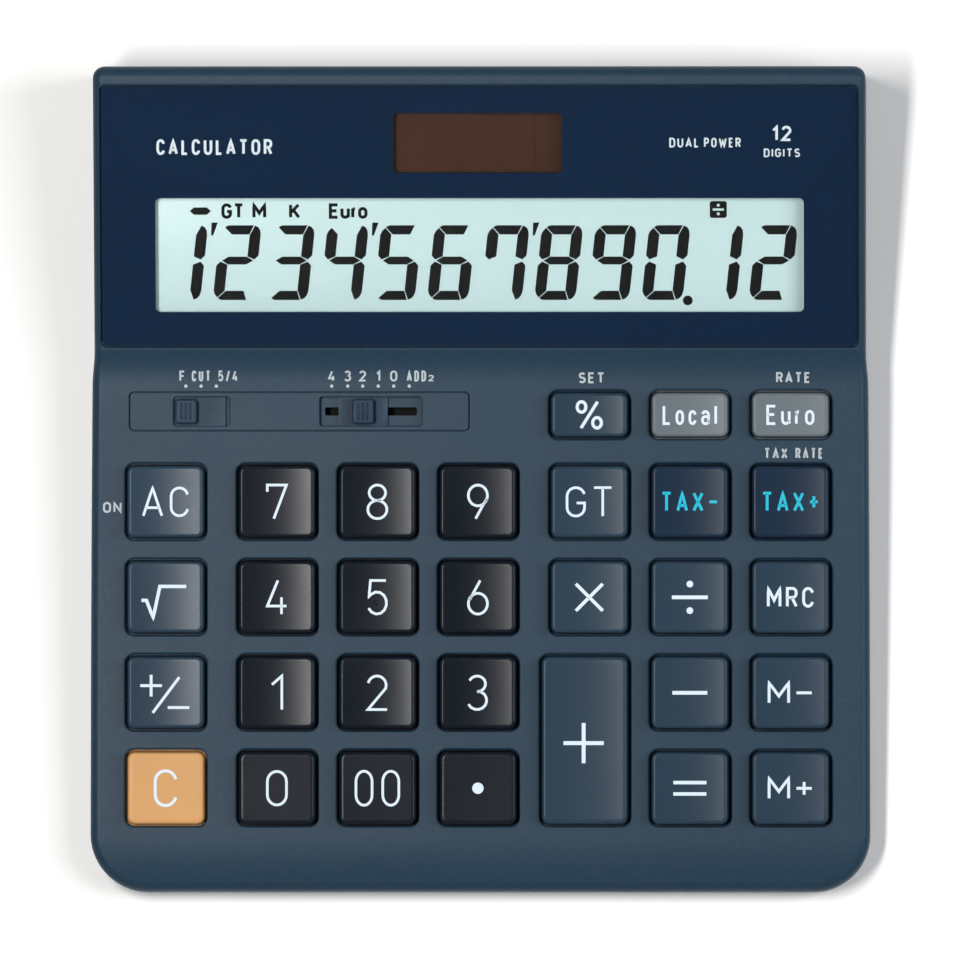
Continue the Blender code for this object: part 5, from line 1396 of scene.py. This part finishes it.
def makeSolarCell():
    centre, size = boxIn(displayFrame, "solar_cell")
    top, thickness, finish = centre.z + size.z / 2, solarLook["thickness"], finishes["solar"]
    plate = bmesh.new()
    low, high = centre.z - size.z / 2, top - thickness
    rows = softRows(size.x, size.y, solarLook["corner"], low, high, solarLook["edge"], 2)
    stack(plate, displayFrame, centre, rows)
    addPiece("solarPlate", smoothed(meshOf(plate), 40), finish, nodes=["solar_cell"])
    pitch = size.x / solarLook["cells"]
    values = {
        "Count": solarLook["cells"], "Pitch": pitch, "Width": pitch - solarLook["gap"],
        "Depth": size.y - 2 * solarLook["strip"], "Thickness": thickness, "Finish": finish,
    }
    cells = runTree(cellTree(), values)
    lift = Matrix.Translation((centre.x, centre.y, top - thickness / 2))
    cells.transform(displayFrame @ lift)
    addPiece("solarCells", cells, finish)
    print("display window and solar cell made")


# The LCD: dark segments a hair above the glass, one thin plate each.
digitLook = {
    "pitch": 10.374 * mm,
    "lastX": 56.76 * mm,
    "low": 9.3 * mm,  # up the face
    "width": 8.0,
    "height": 14.67,
    "bar": 1.8,  # thickness of the level segments
    "side": 2.15,  # and of the upright ones
    "gap": 1.54,  # height of the middle segment
    "middle": 7.75,
    "slant": 0.109,
    "depth": 0.04 * mm,
    "lift": 0.02 * mm,
    "text": "123456789012",
    "pointAfter": 9,
    "marksAfter": (0, 3, 6),
}
segmentsOf = {
    "0": "abcdef", "1": "bc", "2": "abged", "3": "abgcd", "4": "fgbc", "5": "afgcd",
    "6": "afgedc", "7": "fabc", "8": "abcdefg", "9": "abcdfg",
}


def segmentShapes():
    # outlines of the seven bars in millimetres, upright
    width, height = digitLook["width"], digitLook["height"]
    bar, side, gap, middle = (digitLook[name] for name in ("bar", "side", "gap", "middle"))
    low = middle - (gap / 2 + 0.05)
    top = [
        (0.95, height - 0.42), (1.3, height - 0.12), (1.75, height), (width - 1.5, height),
        (width - side - 0.06, height - bar), (side + 0.25, height - bar),
    ]
    upperRight = [
        (width - 1.3, height - 0.05), (width - 0.65, height - 0.35), (width - 0.2, height - 0.95),
        (width, height - 1.9), (width, middle + 1.0), (width - 0.75, middle + 0.2),
        (width - side, middle + gap / 2 + 0.05), (width - side, height - bar - 0.15),
    ]
    lowerRight = [
        (width - 1.3, 0.05), (width - 0.65, 0.35), (width - 0.2, 0.95), (width, 1.9),
        (width, middle - 1.0), (width - 0.75, middle - 0.2), (width - side, low),
        (width - side, bar + 0.15),
    ]
    upperLeft = [
        (0.85, height - 0.5), (0.3, height - 1.1), (0, height - 1.9), (0, middle + 1.0),
        (0.75, middle + 0.2), (side, middle + gap / 2 + 0.05), (side, height - bar + 0.02),
    ]
    lowerLeft = [
        (0.85, 0.5), (0.3, 1.1), (0, 1.9), (0, middle - 1.0), (0.75, middle - 0.2), (side, low),
        (side, bar - 0.02),
    ]
    centre = [
        (1.0, middle), (side + 0.1, middle + gap / 2), (width - side - 0.1, middle + gap / 2),
        (width - 0.95, middle), (width - side - 0.1, middle - gap / 2), (side + 0.1, middle - gap / 2),
    ]
    return {
        "a": top, "b": upperRight, "c": lowerRight, "d": [(x, height - y) for x, y in top],
        "e": lowerLeft, "f": upperLeft, "g": centre,
    }


def flatPlate(shape, points, place, low, high):
    # a thin closed plate from an outline; place turns (x, y, height) into a point in the model
    area = sum(a[0] * b[1] - b[0] * a[1] for a, b in zip(points, points[1:] + points[:1]))
    points = points if area > 0 else points[::-1]
    under = [shape.verts.new(place(x, y, low)) for x, y in points]
    over = [shape.verts.new(place(x, y, high)) for x, y in points]
    for i in range(len(points)):
        j = (i + 1) % len(points)
        shape.faces.new((under[i], under[j], over[j], over[i]))
    shape.faces.new(under[::-1])
    shape.faces.new(over)


def disc(x, y, radius, sides=24):
    turns = [2 * math.pi * side / sides for side in range(sides)]
    return [(x + radius * math.cos(turn), y + radius * math.sin(turn)) for turn in turns]


# Legends are drawn with single strokes. Each glyph has a width and strokes inside a box of height 1.
def bow(x, y, across, up, start, end, steps=10):
    angles = [math.radians(start + (end - start) * step / steps) for step in range(steps + 1)]
    return [(x + across * math.cos(angle), y + up * math.sin(angle)) for angle in angles]


glyphs = {
    "0": (0.60, [bow(0.5, 0.70, 0.5, 0.30, 0, 180) + bow(0.5, 0.30, 0.5, 0.30, 180, 360) + [(1, 0.70)]]),
    "1": (0.34, [[(0, 0.74), (1, 1), (1, 0)]]),
    "2": (0.60, [bow(0.48, 0.72, 0.48, 0.28, 165, -18) + [(0, 0), (1, 0)]]),
    "3": (0.60, [
        bow(0.46, 0.765, 0.44, 0.235, 155, -90),
        bow(0.46, 0.275, 0.50, 0.275, 90, -155),
    ]),
    "4": (0.62, [[(0.55, 1), (0, 0.24), (1, 0.24)], [(0.74, 0.50), (0.74, 0)]]),
    "5": (0.60, [[(0.94, 1), (0.14, 1), (0.06, 0.52)] + bow(0.48, 0.33, 0.50, 0.33, 128, -152)]),
    "6": (0.60, [[(0.62, 1), (0.10, 0.46)] + bow(0.5, 0.31, 0.5, 0.31, 160, 520, 24)]),
    "7": (0.58, [[(0, 0.80), (0, 1), (1, 1), (0.34, 0)]]),
    "8": (0.62, [
        bow(0.5, 0.77, 0.43, 0.23, -90, 270, 24),
        bow(0.5, 0.27, 0.50, 0.27, 90, 450, 24),
    ]),
    "9": (0.60, [[(0.38, 0), (0.90, 0.54)] + bow(0.5, 0.69, 0.5, 0.31, -20, 340, 24)]),
    "A": (0.66, [[(0, 0), (0.5, 1), (1, 0)], [(0.16, 0.29), (0.84, 0.29)]]),
    "C": (0.60, [bow(0.5, 0.70, 0.5, 0.30, 12, 180) + bow(0.5, 0.30, 0.5, 0.30, 180, 348)]),
    "D": (0.60, [
        [(0, 0), (0, 1)] + bow(0.5, 0.68, 0.5, 0.32, 90, 0) + bow(0.5, 0.32, 0.5, 0.32, 0, -90) + [(0, 0)],
    ]),
    "E": (0.52, [[(1, 1), (0, 1), (0, 0), (1, 0)], [(0, 0.52), (0.86, 0.52)]]),
    "F": (0.52, [[(1, 1), (0, 1), (0, 0)], [(0, 0.50), (0.84, 0.50)]]),
    "G": (0.62, [
        bow(0.5, 0.70, 0.5, 0.30, 15, 180) + bow(0.5, 0.30, 0.5, 0.30, 180, 360)
        + [(1, 0.46), (0.55, 0.46)],
    ]),
    "I": (0.04, [[(0.5, 0), (0.5, 1)]]),
    "K": (0.60, [[(0, 0), (0, 1)], [(0.96, 1), (0, 0.36)], [(0.34, 0.59), (1, 0)]]),
    "L": (0.48, [[(0, 1), (0, 0), (1, 0)]]),
    "M": (0.74, [[(0, 0), (0, 1), (0.5, 0.34), (1, 1), (1, 0)]]),
    "N": (0.64, [[(0, 0), (0, 1), (1, 0), (1, 1)]]),
    "O": (0.62, [bow(0.5, 0.70, 0.5, 0.30, 0, 180) + bow(0.5, 0.30, 0.5, 0.30, 180, 360) + [(1, 0.70)]]),
    "P": (0.58, [[(0, 0), (0, 1)] + bow(0.6, 0.73, 0.4, 0.27, 90, -90) + [(0, 0.46)]]),
    "R": (0.60, [
        [(0, 0), (0, 1)] + bow(0.6, 0.745, 0.4, 0.255, 90, -90) + [(0, 0.49)],
        [(0.52, 0.49), (1, 0)],
    ]),
    "S": (0.58, [bow(0.5, 0.755, 0.48, 0.245, 28, 270) + bow(0.5, 0.255, 0.5, 0.255, 90, -152)]),
    "T": (0.62, [[(0, 1), (1, 1)], [(0.5, 1), (0.5, 0)]]),
    "U": (0.60, [[(0, 1)] + bow(0.5, 0.30, 0.5, 0.30, 180, 360) + [(1, 1)]]),
    "W": (0.90, [[(0, 1), (0.26, 0), (0.5, 0.78), (0.74, 0), (1, 1)]]),
    "X": (0.64, [[(0, 0), (1, 1)], [(0, 1), (1, 0)]]),
    "a": (0.50, [
        bow(0.5, 0.47, 0.5, 0.22, 160, 0) + [(1, 0)],
        [(1, 0.40)] + bow(0.42, 0.20, 0.42, 0.20, 90, 270) + bow(0.70, 0.24, 0.30, 0.24, -90, 0, 5),
    ]),
    "c": (0.46, [bow(0.5, 0.45, 0.5, 0.25, 15, 180) + bow(0.5, 0.25, 0.5, 0.25, 180, 345)]),
    "l": (0.14, [[(0, 1), (0, 0.16)] + bow(0.9, 0.16, 0.9, 0.16, 180, 270, 5)]),
    "o": (0.48, [bow(0.5, 0.45, 0.5, 0.25, 0, 180) + bow(0.5, 0.25, 0.5, 0.25, 180, 360) + [(1, 0.45)]]),
    "r": (0.28, [[(0, 0), (0, 0.70)], [(0, 0.50)] + bow(0.9, 0.45, 0.9, 0.25, 175, 90, 6)]),
    "u": (0.48, [[(0, 0.70)] + bow(0.5, 0.25, 0.5, 0.25, 180, 360) + [(1, 0.70)], [(1, 0.2), (1, 0)]]),
    "/": (0.46, [[(0, -0.05), (1, 1.05)]]),
    "+": (0.60, [[(0, 0.5), (1, 0.5)], [(0.5, 0.18), (0.5, 0.82)]]),
    "-": (0.60, [[(0, 0.5), (1, 0.5)]]),
    "%": (0.88, [
        bow(0.18, 0.80, 0.18, 0.20, 90, 450, 16),
        bow(0.82, 0.20, 0.18, 0.20, 90, 450, 16),
        [(0.84, 1), (0.16, 0)],
    ]),
}


def textStrokes(text, height, weight, spacing=0.22, stretch=1.0):
    # centre lines of a line of text, in metres about its middle, and its width
    strokes, x = [], 0.0
    for letter in text:
        if letter == " ":
            x += 0.32 * height * stretch
            continue
        width, paths = glyphs[letter]
        inner = max(width * height * stretch - weight, 0.0)
        for path in paths:
            left, low = x + weight / 2, weight / 2
            strokes.append([(left + u * inner, low + v * (height - weight)) for u, v in path])
        x += inner + weight + spacing * height
    total = x - spacing * height
    return [[(u - total / 2, v - height / 2) for u, v in path] for path in strokes], total


def strokeBand(shape, path, weight, place, low, high):
    # a closed band of even width along a path, mitred; a path that ends where it began is a loop
    loop = math.dist(path[0], path[-1]) < 0.02 * mm and len(path) > 3
    points = [path[0]]
    for start, end in zip(path, path[1:]):
        steps = max(1, math.ceil(math.dist(start, end) / (1.0 * mm)))
        for step in range(1, steps + 1):
            part = step / steps
            point = (start[0] + (end[0] - start[0]) * part, start[1] + (end[1] - start[1]) * part)
            if math.dist(point, points[-1]) > 0.01 * mm:
                points.append(point)
    if loop:
        points.pop()
    count = len(points)
    rows = []
    for i, point in enumerate(points):
        before = points[i - 1] if loop or i else None
        after = points[(i + 1) % count] if loop or i < count - 1 else None
        ways = []
        if before:
            ways.append(Vector((point[0] - before[0], point[1] - before[1])).normalized())
        if after:
            ways.append(Vector((after[0] - point[0], after[1] - point[1])).normalized())
        way = sum(ways, Vector((0, 0)))
        way = way.normalized() if way.length > 0.001 else ways[0]
        side = Vector((-way.y, way.x))
        reach = weight / 2 / max(abs(way.dot(ways[0])), 0.45)
        left = (point[0] + side.x * reach, point[1] + side.y * reach)
        right = (point[0] - side.x * reach, point[1] - side.y * reach)
        corners = [(*right, low), (*left, low), (*left, high), (*right, high)]
        rows.append([shape.verts.new(place(*corner)) for corner in corners])
    for first, second in zip(rows, rows[1:] + rows[:1] if loop else rows[1:]):
        for i in range(4):
            j = (i + 1) % 4
            shape.faces.new((first[i], first[j], second[j], second[i]))
    if not loop:
        shape.faces.new(rows[0][::-1])
        shape.faces.new(rows[-1])


# ink reaches this far into a face, and stands this far out of it
inkDepth, inkLift = 0.06 * mm, 0.022 * mm


def stampOn(frameOfFace, centreX, centreY, height):
    # turns ink coordinates into points on a face; height gives the face's height at the ink's x and y
    def place(x, y, lift):
        return frameOfFace @ Vector((centreX + x, centreY + y, height(x, y) + lift))

    return place


def fitText(text, height, weight, width, spacing=0.22):
    # strokes of a line of text drawn out to the given width
    narrow, wide = (textStrokes(text, height, weight, spacing, stretch)[1] for stretch in (1.0, 1.2))
    stretch = 1.0 + 0.2 * (width - narrow) / (wide - narrow)
    return textStrokes(text, height, weight, spacing, stretch)[0]


# Legends, in millimetres from the middle of each key.
legendTexts = {
    # text, height, stroke, width
    "key_ac": ("AC", 5.9, 0.50, 9.1),
    "key_percent": ("%", 5.7, 0.60, 5.3),
    "key_local": ("Local", 3.9, 0.52, 10.5),
    "key_euro": ("Euro", 3.9, 0.52, 9.3),
    "key_gt": ("GT", 6.0, 0.50, 9.1),
    "key_tax_minus": ("TAX-", 3.9, 0.55, 11.1),
    "key_tax_plus": ("TAX+", 3.9, 0.55, 11.1),
    "key_memory_recall": ("MRC", 4.0, 0.55, 9.1),
    "key_memory_minus": ("M-", 4.4, 0.55, 8.8),
    "key_memory_plus": ("M+", 4.4, 0.55, 8.8),
    "key_clear": ("C", 7.3, 0.58, 4.6),
    "key_00": ("00", 7.1, 0.50, 8.8),
}
for digit in "0123456789":
    legendTexts[f"key_{digit}"] = (digit, 7.0, 0.50, 2.4 if digit == "1" else 4.2)
legendStrokes = {
    # stroke, paths
    "key_multiply": (0.65, [[(-2.6, -2.6), (2.6, 2.6)], [(-2.6, 2.6), (2.6, -2.6)]]),
    "key_divide": (0.72, [[(-3.48, 0), (3.48, 0)]]),
    "key_root": (0.65, [[(-4.65, -0.6), (-3.7, -0.6), (-2.4, -3.95), (-1.1, 2.1), (4.0, 2.1)]]),
    "key_sign": (0.55, [
        [(-4.9, 1.37), (-0.7, 1.37)],
        [(-2.8, -0.73), (-2.8, 3.47)],
        [(-2.5, -3.9), (2.66, 3.0)],
        [(0.4, -2.87), (4.6, -2.87)],
    ]),
    "key_minus": (0.72, [[(-3.38, 0), (3.38, 0)]]),
    "key_plus": (0.75, [[(-4.1, -0.5), (3.7, -0.5)], [(-0.2, -4.4), (-0.2, 3.4)]]),
    "key_equals": (0.67, [[(-3.2, 1.1), (3.2, 1.1)], [(-3.2, -1.1), (3.2, -1.1)]]),
}
legendDots = {"key_divide": (0.65, [(0, 2.57), (0, -2.57)]), "key_point": (1.1, [(0, 0)])}
tactileDot = {"key": "key_5", "centre": (-0.2, -1.1), "radius": 0.40, "rise": 0.22}


def makeLegends(tops):
    for node, (centre, half, top) in tops.items():
        shape = bmesh.new()
        place = stampOn(deckFrame, centre.x, centre.y, lambda x, y: keyTop(node, half, top, x))
        if node in legendTexts:
            text, *sizes = legendTexts[node]
            height, weight, width = (size * mm for size in sizes)
            for path in fitText(text, height, weight, width):
                strokeBand(shape, path, weight, place, -inkDepth, inkLift)
        if node in legendStrokes:
            weight, paths = legendStrokes[node]
            for i, path in enumerate(paths):
                path = [(x * mm, y * mm) for x, y in path]
                step = 0.002 * mm * i  # strokes that cross lie at slightly different heights
                strokeBand(shape, path, weight * mm, place, -inkDepth, inkLift + step)
        if node in legendDots:
            radius, dots = legendDots[node]
            for x, y in dots:
                flatPlate(shape, disc(x * mm, y * mm, radius * mm), place, -inkDepth, inkLift)
        if node == tactileDot["key"]:
            x, y = (part * mm for part in tactileDot["centre"])
            radius, rise = tactileDot["radius"] * mm, tactileDot["rise"] * mm
            where = Matrix.Translation(place(x, y, 0)) @ deckFrame.to_3x3().to_4x4()
            where = where @ Matrix.Diagonal((radius, radius, rise, 1))
            bump = bmesh.new()
            bmesh.ops.create_icosphere(bump, subdivisions=3, radius=1, matrix=where)
            mesh = smoothed(meshOf(bump), 60)
            addPiece("tactileDot", mesh, finishes[slotOf[node]], bodyOf(node))
        ink = "taxInk" if node.startswith("key_tax") else "legendInk"
        name = node.replace("key_", "legend_", 1)
        addPiece(name, smoothed(meshOf(shape), 30), finishes[ink], bodyOf(node))
    print("legends:", len(tops))


# Printing on the deck and behind the window, in millimetres on each face.
deckTexts = [
    # text, height, stroke, width, centre
    ("F", 2.1, 0.36, 1.1, (-57.65, 20.1)),
    ("CUT", 2.1, 0.36, 3.6, (-54.0, 20.1)),
    ("5/4", 2.1, 0.34, 3.85, (-48.8, 20.1)),
    ("4", 2.1, 0.36, 1.4, (-28.7, 20.1)),
    ("3", 2.1, 0.36, 1.4, (-25.6, 20.1)),
    ("2", 2.1, 0.36, 1.4, (-22.7, 20.1)),
    ("1", 2.1, 0.36, 0.8, (-19.7, 20.1)),
    ("0", 2.1, 0.36, 1.4, (-16.7, 20.1)),
    ("ADD", 2.1, 0.36, 3.75, (-12.3, 20.1)),
    ("2", 1.25, 0.26, 1.1, (-9.45, 19.7)),
    ("ON", 2.1, 0.38, 3.6, (-71.2, -5.3)),
    ("SET", 2.1, 0.38, 5.0, (21.6, 19.75)),
    ("RATE", 2.1, 0.38, 6.6, (60.6, 19.8)),
    ("TAX", 2.1, 0.38, 4.5, (57.25, 5.15)),
    ("RATE", 2.1, 0.38, 5.3, (63.7, 5.15)),
]
deckDots = {"radius": 0.32, "places": [(-56.95, 18.15), (-54.0, 18.15), (-51.05, 18.15)]}
deckDots["places"] += [(x, 18.15) for x in (-28.7, -25.6, -22.7, -19.7, -16.7, -13.7)]
windowTexts = [
    ("CALCULATOR", 3.1, 0.50, 22.4, (-51.2, 39.75)),
    ("DUAL", 1.9, 0.32, 5.7, (39.6, 40.6)),
    ("POWER", 1.9, 0.32, 7.1, (47.0, 40.6)),
    ("12", 3.0, 0.50, 3.8, (58.5, 42.4)),
    ("DIGITS", 1.7, 0.30, 7.0, (58.5, 38.6)),
]


def onDeck(centreX, centreY):
    # ink on the case's own top, so that it follows the ramp behind the switches
    def place(x, y, lift):
        return Vector((centreX + x, centreY + y, topHeight(centreY + y) + lift))

    return place


def printTexts(name, texts, placeAt, finish, dots=None):
    shape = bmesh.new()
    for text, *sizes, centre in texts:
        cap, weight, width = (size * mm for size in sizes)
        place = placeAt(centre[0] * mm, centre[1] * mm)
        for path in fitText(text, cap, weight, width):
            strokeBand(shape, path, weight, place, -inkDepth, inkLift)
    if dots:
        place = placeAt(0, 0)
        for x, y in dots["places"]:
            dot = disc(x * mm, y * mm, dots["radius"] * mm, 16)
            flatPlate(shape, dot, place, -inkDepth, inkLift)
    addPiece(name, smoothed(meshOf(shape), 30), finishes[finish])


# The LCD panel, its digits and the small signs above them.
lcdLook = {
    "edge": 0.15 * mm,
    "corner": 0.5 * mm,
    "mark": [(5.44, 24.51), (6.66, 24.51), (5.75, 21.96), (5.34, 21.96)],
    "point": (4.2, 9.2, 0.95),
    "signHeight": 3.05,
    "signWeight": 0.62,
    "signSpacing": 0.08,
    "signs": [("GT", -47.8, 4.4), ("M", -42.65, 2.7), ("K", -35.8, 2.2), ("Euro", -25.45, 7.5)],
    "signY": 26.76,
    "dash": [(-56.1, 0), (-55.3, 0.72), (-52.8, 0.72), (-52.0, 0), (-52.8, -0.72), (-55.3, -0.72)],
    "boxedSign": (46.15, 27.05, 3.3, 0.5),  # centre, side and corner; a division sign is left open in it
    "signBar": (0.66 * 3.3, 0.45, 0.05),
    "signDots": (0.85, 0.3),  # from the centre, and radius
    "past": 0.1 * mm,
}


def makeLcd():
    centre, size = boxIn(displayFrame, "lcd_panel")
    top = centre.z + size.z / 2
    panel = bmesh.new()
    face = top - digitLook["lift"]
    rows = softRows(size.x, size.y, lcdLook["corner"], centre.z - size.z / 2, face, lcdLook["edge"], 3)
    stack(panel, displayFrame, centre, rows)
    addPiece("lcdGlass", smoothed(meshOf(panel), 40), finishes["lcd"], nodes=["lcd_panel"])

    shape = bmesh.new()
    bars = segmentShapes()
    low = face - digitLook["depth"]
    middle = digitLook["height"] / 2
    onGlass = lambda x, y, z: displayFrame @ Vector((x * mm, y * mm, z))
    lowY = digitLook["low"] / mm
    count = len(digitLook["text"])
    for i, digit in enumerate(digitLook["text"]):
        x = (digitLook["lastX"] - (count - 1 - i) * digitLook["pitch"]) / mm
        left = x - digitLook["width"] / 2
        for bar in segmentsOf[digit]:
            points = [(left + u + digitLook["slant"] * (v - middle), lowY + v) for u, v in bars[bar]]
            flatPlate(shape, points, onGlass, low, top)
        if i in digitLook["marksAfter"]:
            flatPlate(shape, [(x + u, v) for u, v in lcdLook["mark"]], onGlass, low, top)
        if i == digitLook["pointAfter"]:
            u, v, radius = lcdLook["point"]
            flatPlate(shape, disc(x + u, v, radius), onGlass, low, top)
    signY, cap, weight = lcdLook["signY"] * mm, lcdLook["signHeight"] * mm, lcdLook["signWeight"] * mm
    for text, x, width in lcdLook["signs"]:
        place = stampOn(displayFrame, x * mm, signY, lambda u, v: face)
        for path in fitText(text, cap, weight, width * mm, lcdLook["signSpacing"]):
            strokeBand(shape, path, weight, place, -digitLook["depth"], digitLook["lift"])
    flatPlate(shape, [(x, lcdLook["signY"] + y) for x, y in lcdLook["dash"]], onGlass, low, top)
    x, y, width, corner = lcdLook["boxedSign"]
    box, sign = bmesh.new(), bmesh.new()
    row, past = (width * mm, width * mm, corner * mm), lcdLook["past"]
    stack(box, displayFrame, (x * mm, y * mm), [(*row, low), (*row, top)])
    row = [part * mm for part in lcdLook["signBar"]]
    stack(sign, displayFrame, (x * mm, y * mm), [(*row, low - past), (*row, top + past)], 1)
    reach, radius = lcdLook["signDots"][0], lcdLook["signDots"][1] * mm
    for way in (-reach, reach):
        centre = (x * mm, (y + way) * mm)
        cone(sign, displayFrame, centre, radius, radius, low - past, top + past, 12)
    shape.from_mesh(combined(meshOf(box), [("DIFFERENCE", sign)]))
    addPiece("lcdSegments", smoothed(meshOf(shape), 30), finishes["segmentInk"])
    print("LCD made with", count, "digits")


def makeSwitches(ridges):
    plate, plateSize = boxIn(deckFrame, "switch_plate")
    top, past, bevel = plate.z + plateSize.z / 2, coverLook["past"], switchLook["bevel"]
    corner = coverLook["plateCorner"]
    rows = softRows(plateSize.x, plateSize.y, corner, top - plateSize.z, top, bevel, 3)
    body, slots = bmesh.new(), bmesh.new()
    stack(body, deckFrame, plate, rows)
    width, corner = switchLook["slotWidth"], switchLook["slotCorner"]
    for switch in switches.values():
        length = switch["travel"] + switchLook["knobSize"][0] + 2 * switchLook["slack"]
        row = (length, width, corner)
        wide = (length + 2 * bevel, width + 2 * bevel, corner + bevel)
        rows = [(*row, top - plateSize.z - past), (*row, top - bevel), (*wide, top), (*wide, top + past)]
        stack(slots, deckFrame, (switch["middle"], plate.y), rows, 4)
    mesh = smoothed(combined(meshOf(body), [("DIFFERENCE", slots)]), 35, weighted=True)
    addPiece("switchPlate", mesh, finishes["housing"], nodes=["switch_plate"])

    board, boardSize = boxIn(deckFrame, "main_board")
    boardTop = board.z + boardSize.z / 2
    for knob, switch in switches.items():
        centre, size = boxIn(deckFrame, knob)
        lowest, highest = centre.z - size.z / 2, centre.z + size.z / 2
        leafTop = top - plateSize.z - switchLook["leafGap"]
        leafLow = leafTop - switchLook["leafThickness"]
        middle = (leafLow + leafTop) / 2
        place = (switch["rest"], plate.y)
        capTop = highest - switchLook["ridges"]["Height"]
        shape, leaf, stem = bmesh.new(), bmesh.new(), bmesh.new()
        edge = switchLook["knobEdge"]
        rows = softRows(*switchLook["knobSize"], switchLook["knobCorner"], middle, capTop, edge, 4)
        stack(shape, deckFrame, place, rows, 5)
        row = (size.x, size.y, switchLook["leafCorner"])
        stack(leaf, deckFrame, place, [(*row, leafLow), (*row, leafTop)], 3)
        row = (*switchLook["stem"], switchLook["leafCorner"])
        stack(stem, deckFrame, place, [(*row, lowest), (*row, middle)], 3)
        mesh = combined(meshOf(shape), [("UNION", leaf), ("UNION", stem)])
        label, slot = knob.replace("_knob", ""), slotOf[knob]
        mesh = smoothed(mesh, 35, weighted=True)
        addPiece(label + "Knob", mesh, finishes[slot], bodyOf(knob), [knob])
        grip = runTree(ridges, {**switchLook["ridges"], "Finish": finishes[slot]})
        grip.transform(deckFrame @ Matrix.Translation((*place, capTop)))
        addPiece(label + "Grip", smoothed(grip, 60), finishes[slot], bodyOf(knob))

        # carbon contacts on the board, under the wiper; the black strip also paints shade into the knob's slot,
        # where the green board would show through
        strip, (longer, width, corner) = bmesh.new(), switchLook["strip"]
        row, high = (switch["travel"] + longer, width, corner), boardTop + switchLook["stripThickness"]
        stack(strip, deckFrame, (switch["middle"], plate.y), [(*row, boardTop), (*row, high)], 3)
        addPiece(label + "Contacts", smoothed(meshOf(strip), 35), finishes["segmentInk"])
    print("switches:", len(switches))


ridges = ridgeTree()
keyTops = makeKeys()
makeLegends(keyTops)
makeFrontCover()
makeRearCover()
makeSwitches(ridges)
sheetTop = makeWindow()
makeLcd()
makeSolarCell()
makeScrews()
makeHatch(ridges)
makeFeet()
printTexts("deckPrint", deckTexts, onDeck, "deckInk", deckDots)
onSheet = lambda centreX, centreY: stampOn(displayFrame, centreX, centreY, lambda x, y: sheetTop)
printTexts("windowTexts", windowTexts, onSheet, "windowInk")

for node, cad in frame["nodes"].items():
    cad.data.materials.clear()
    cad.data.materials.append(finishes[slotOf[node]])
print("finishes put on", len(frame["nodes"]), "nodes")
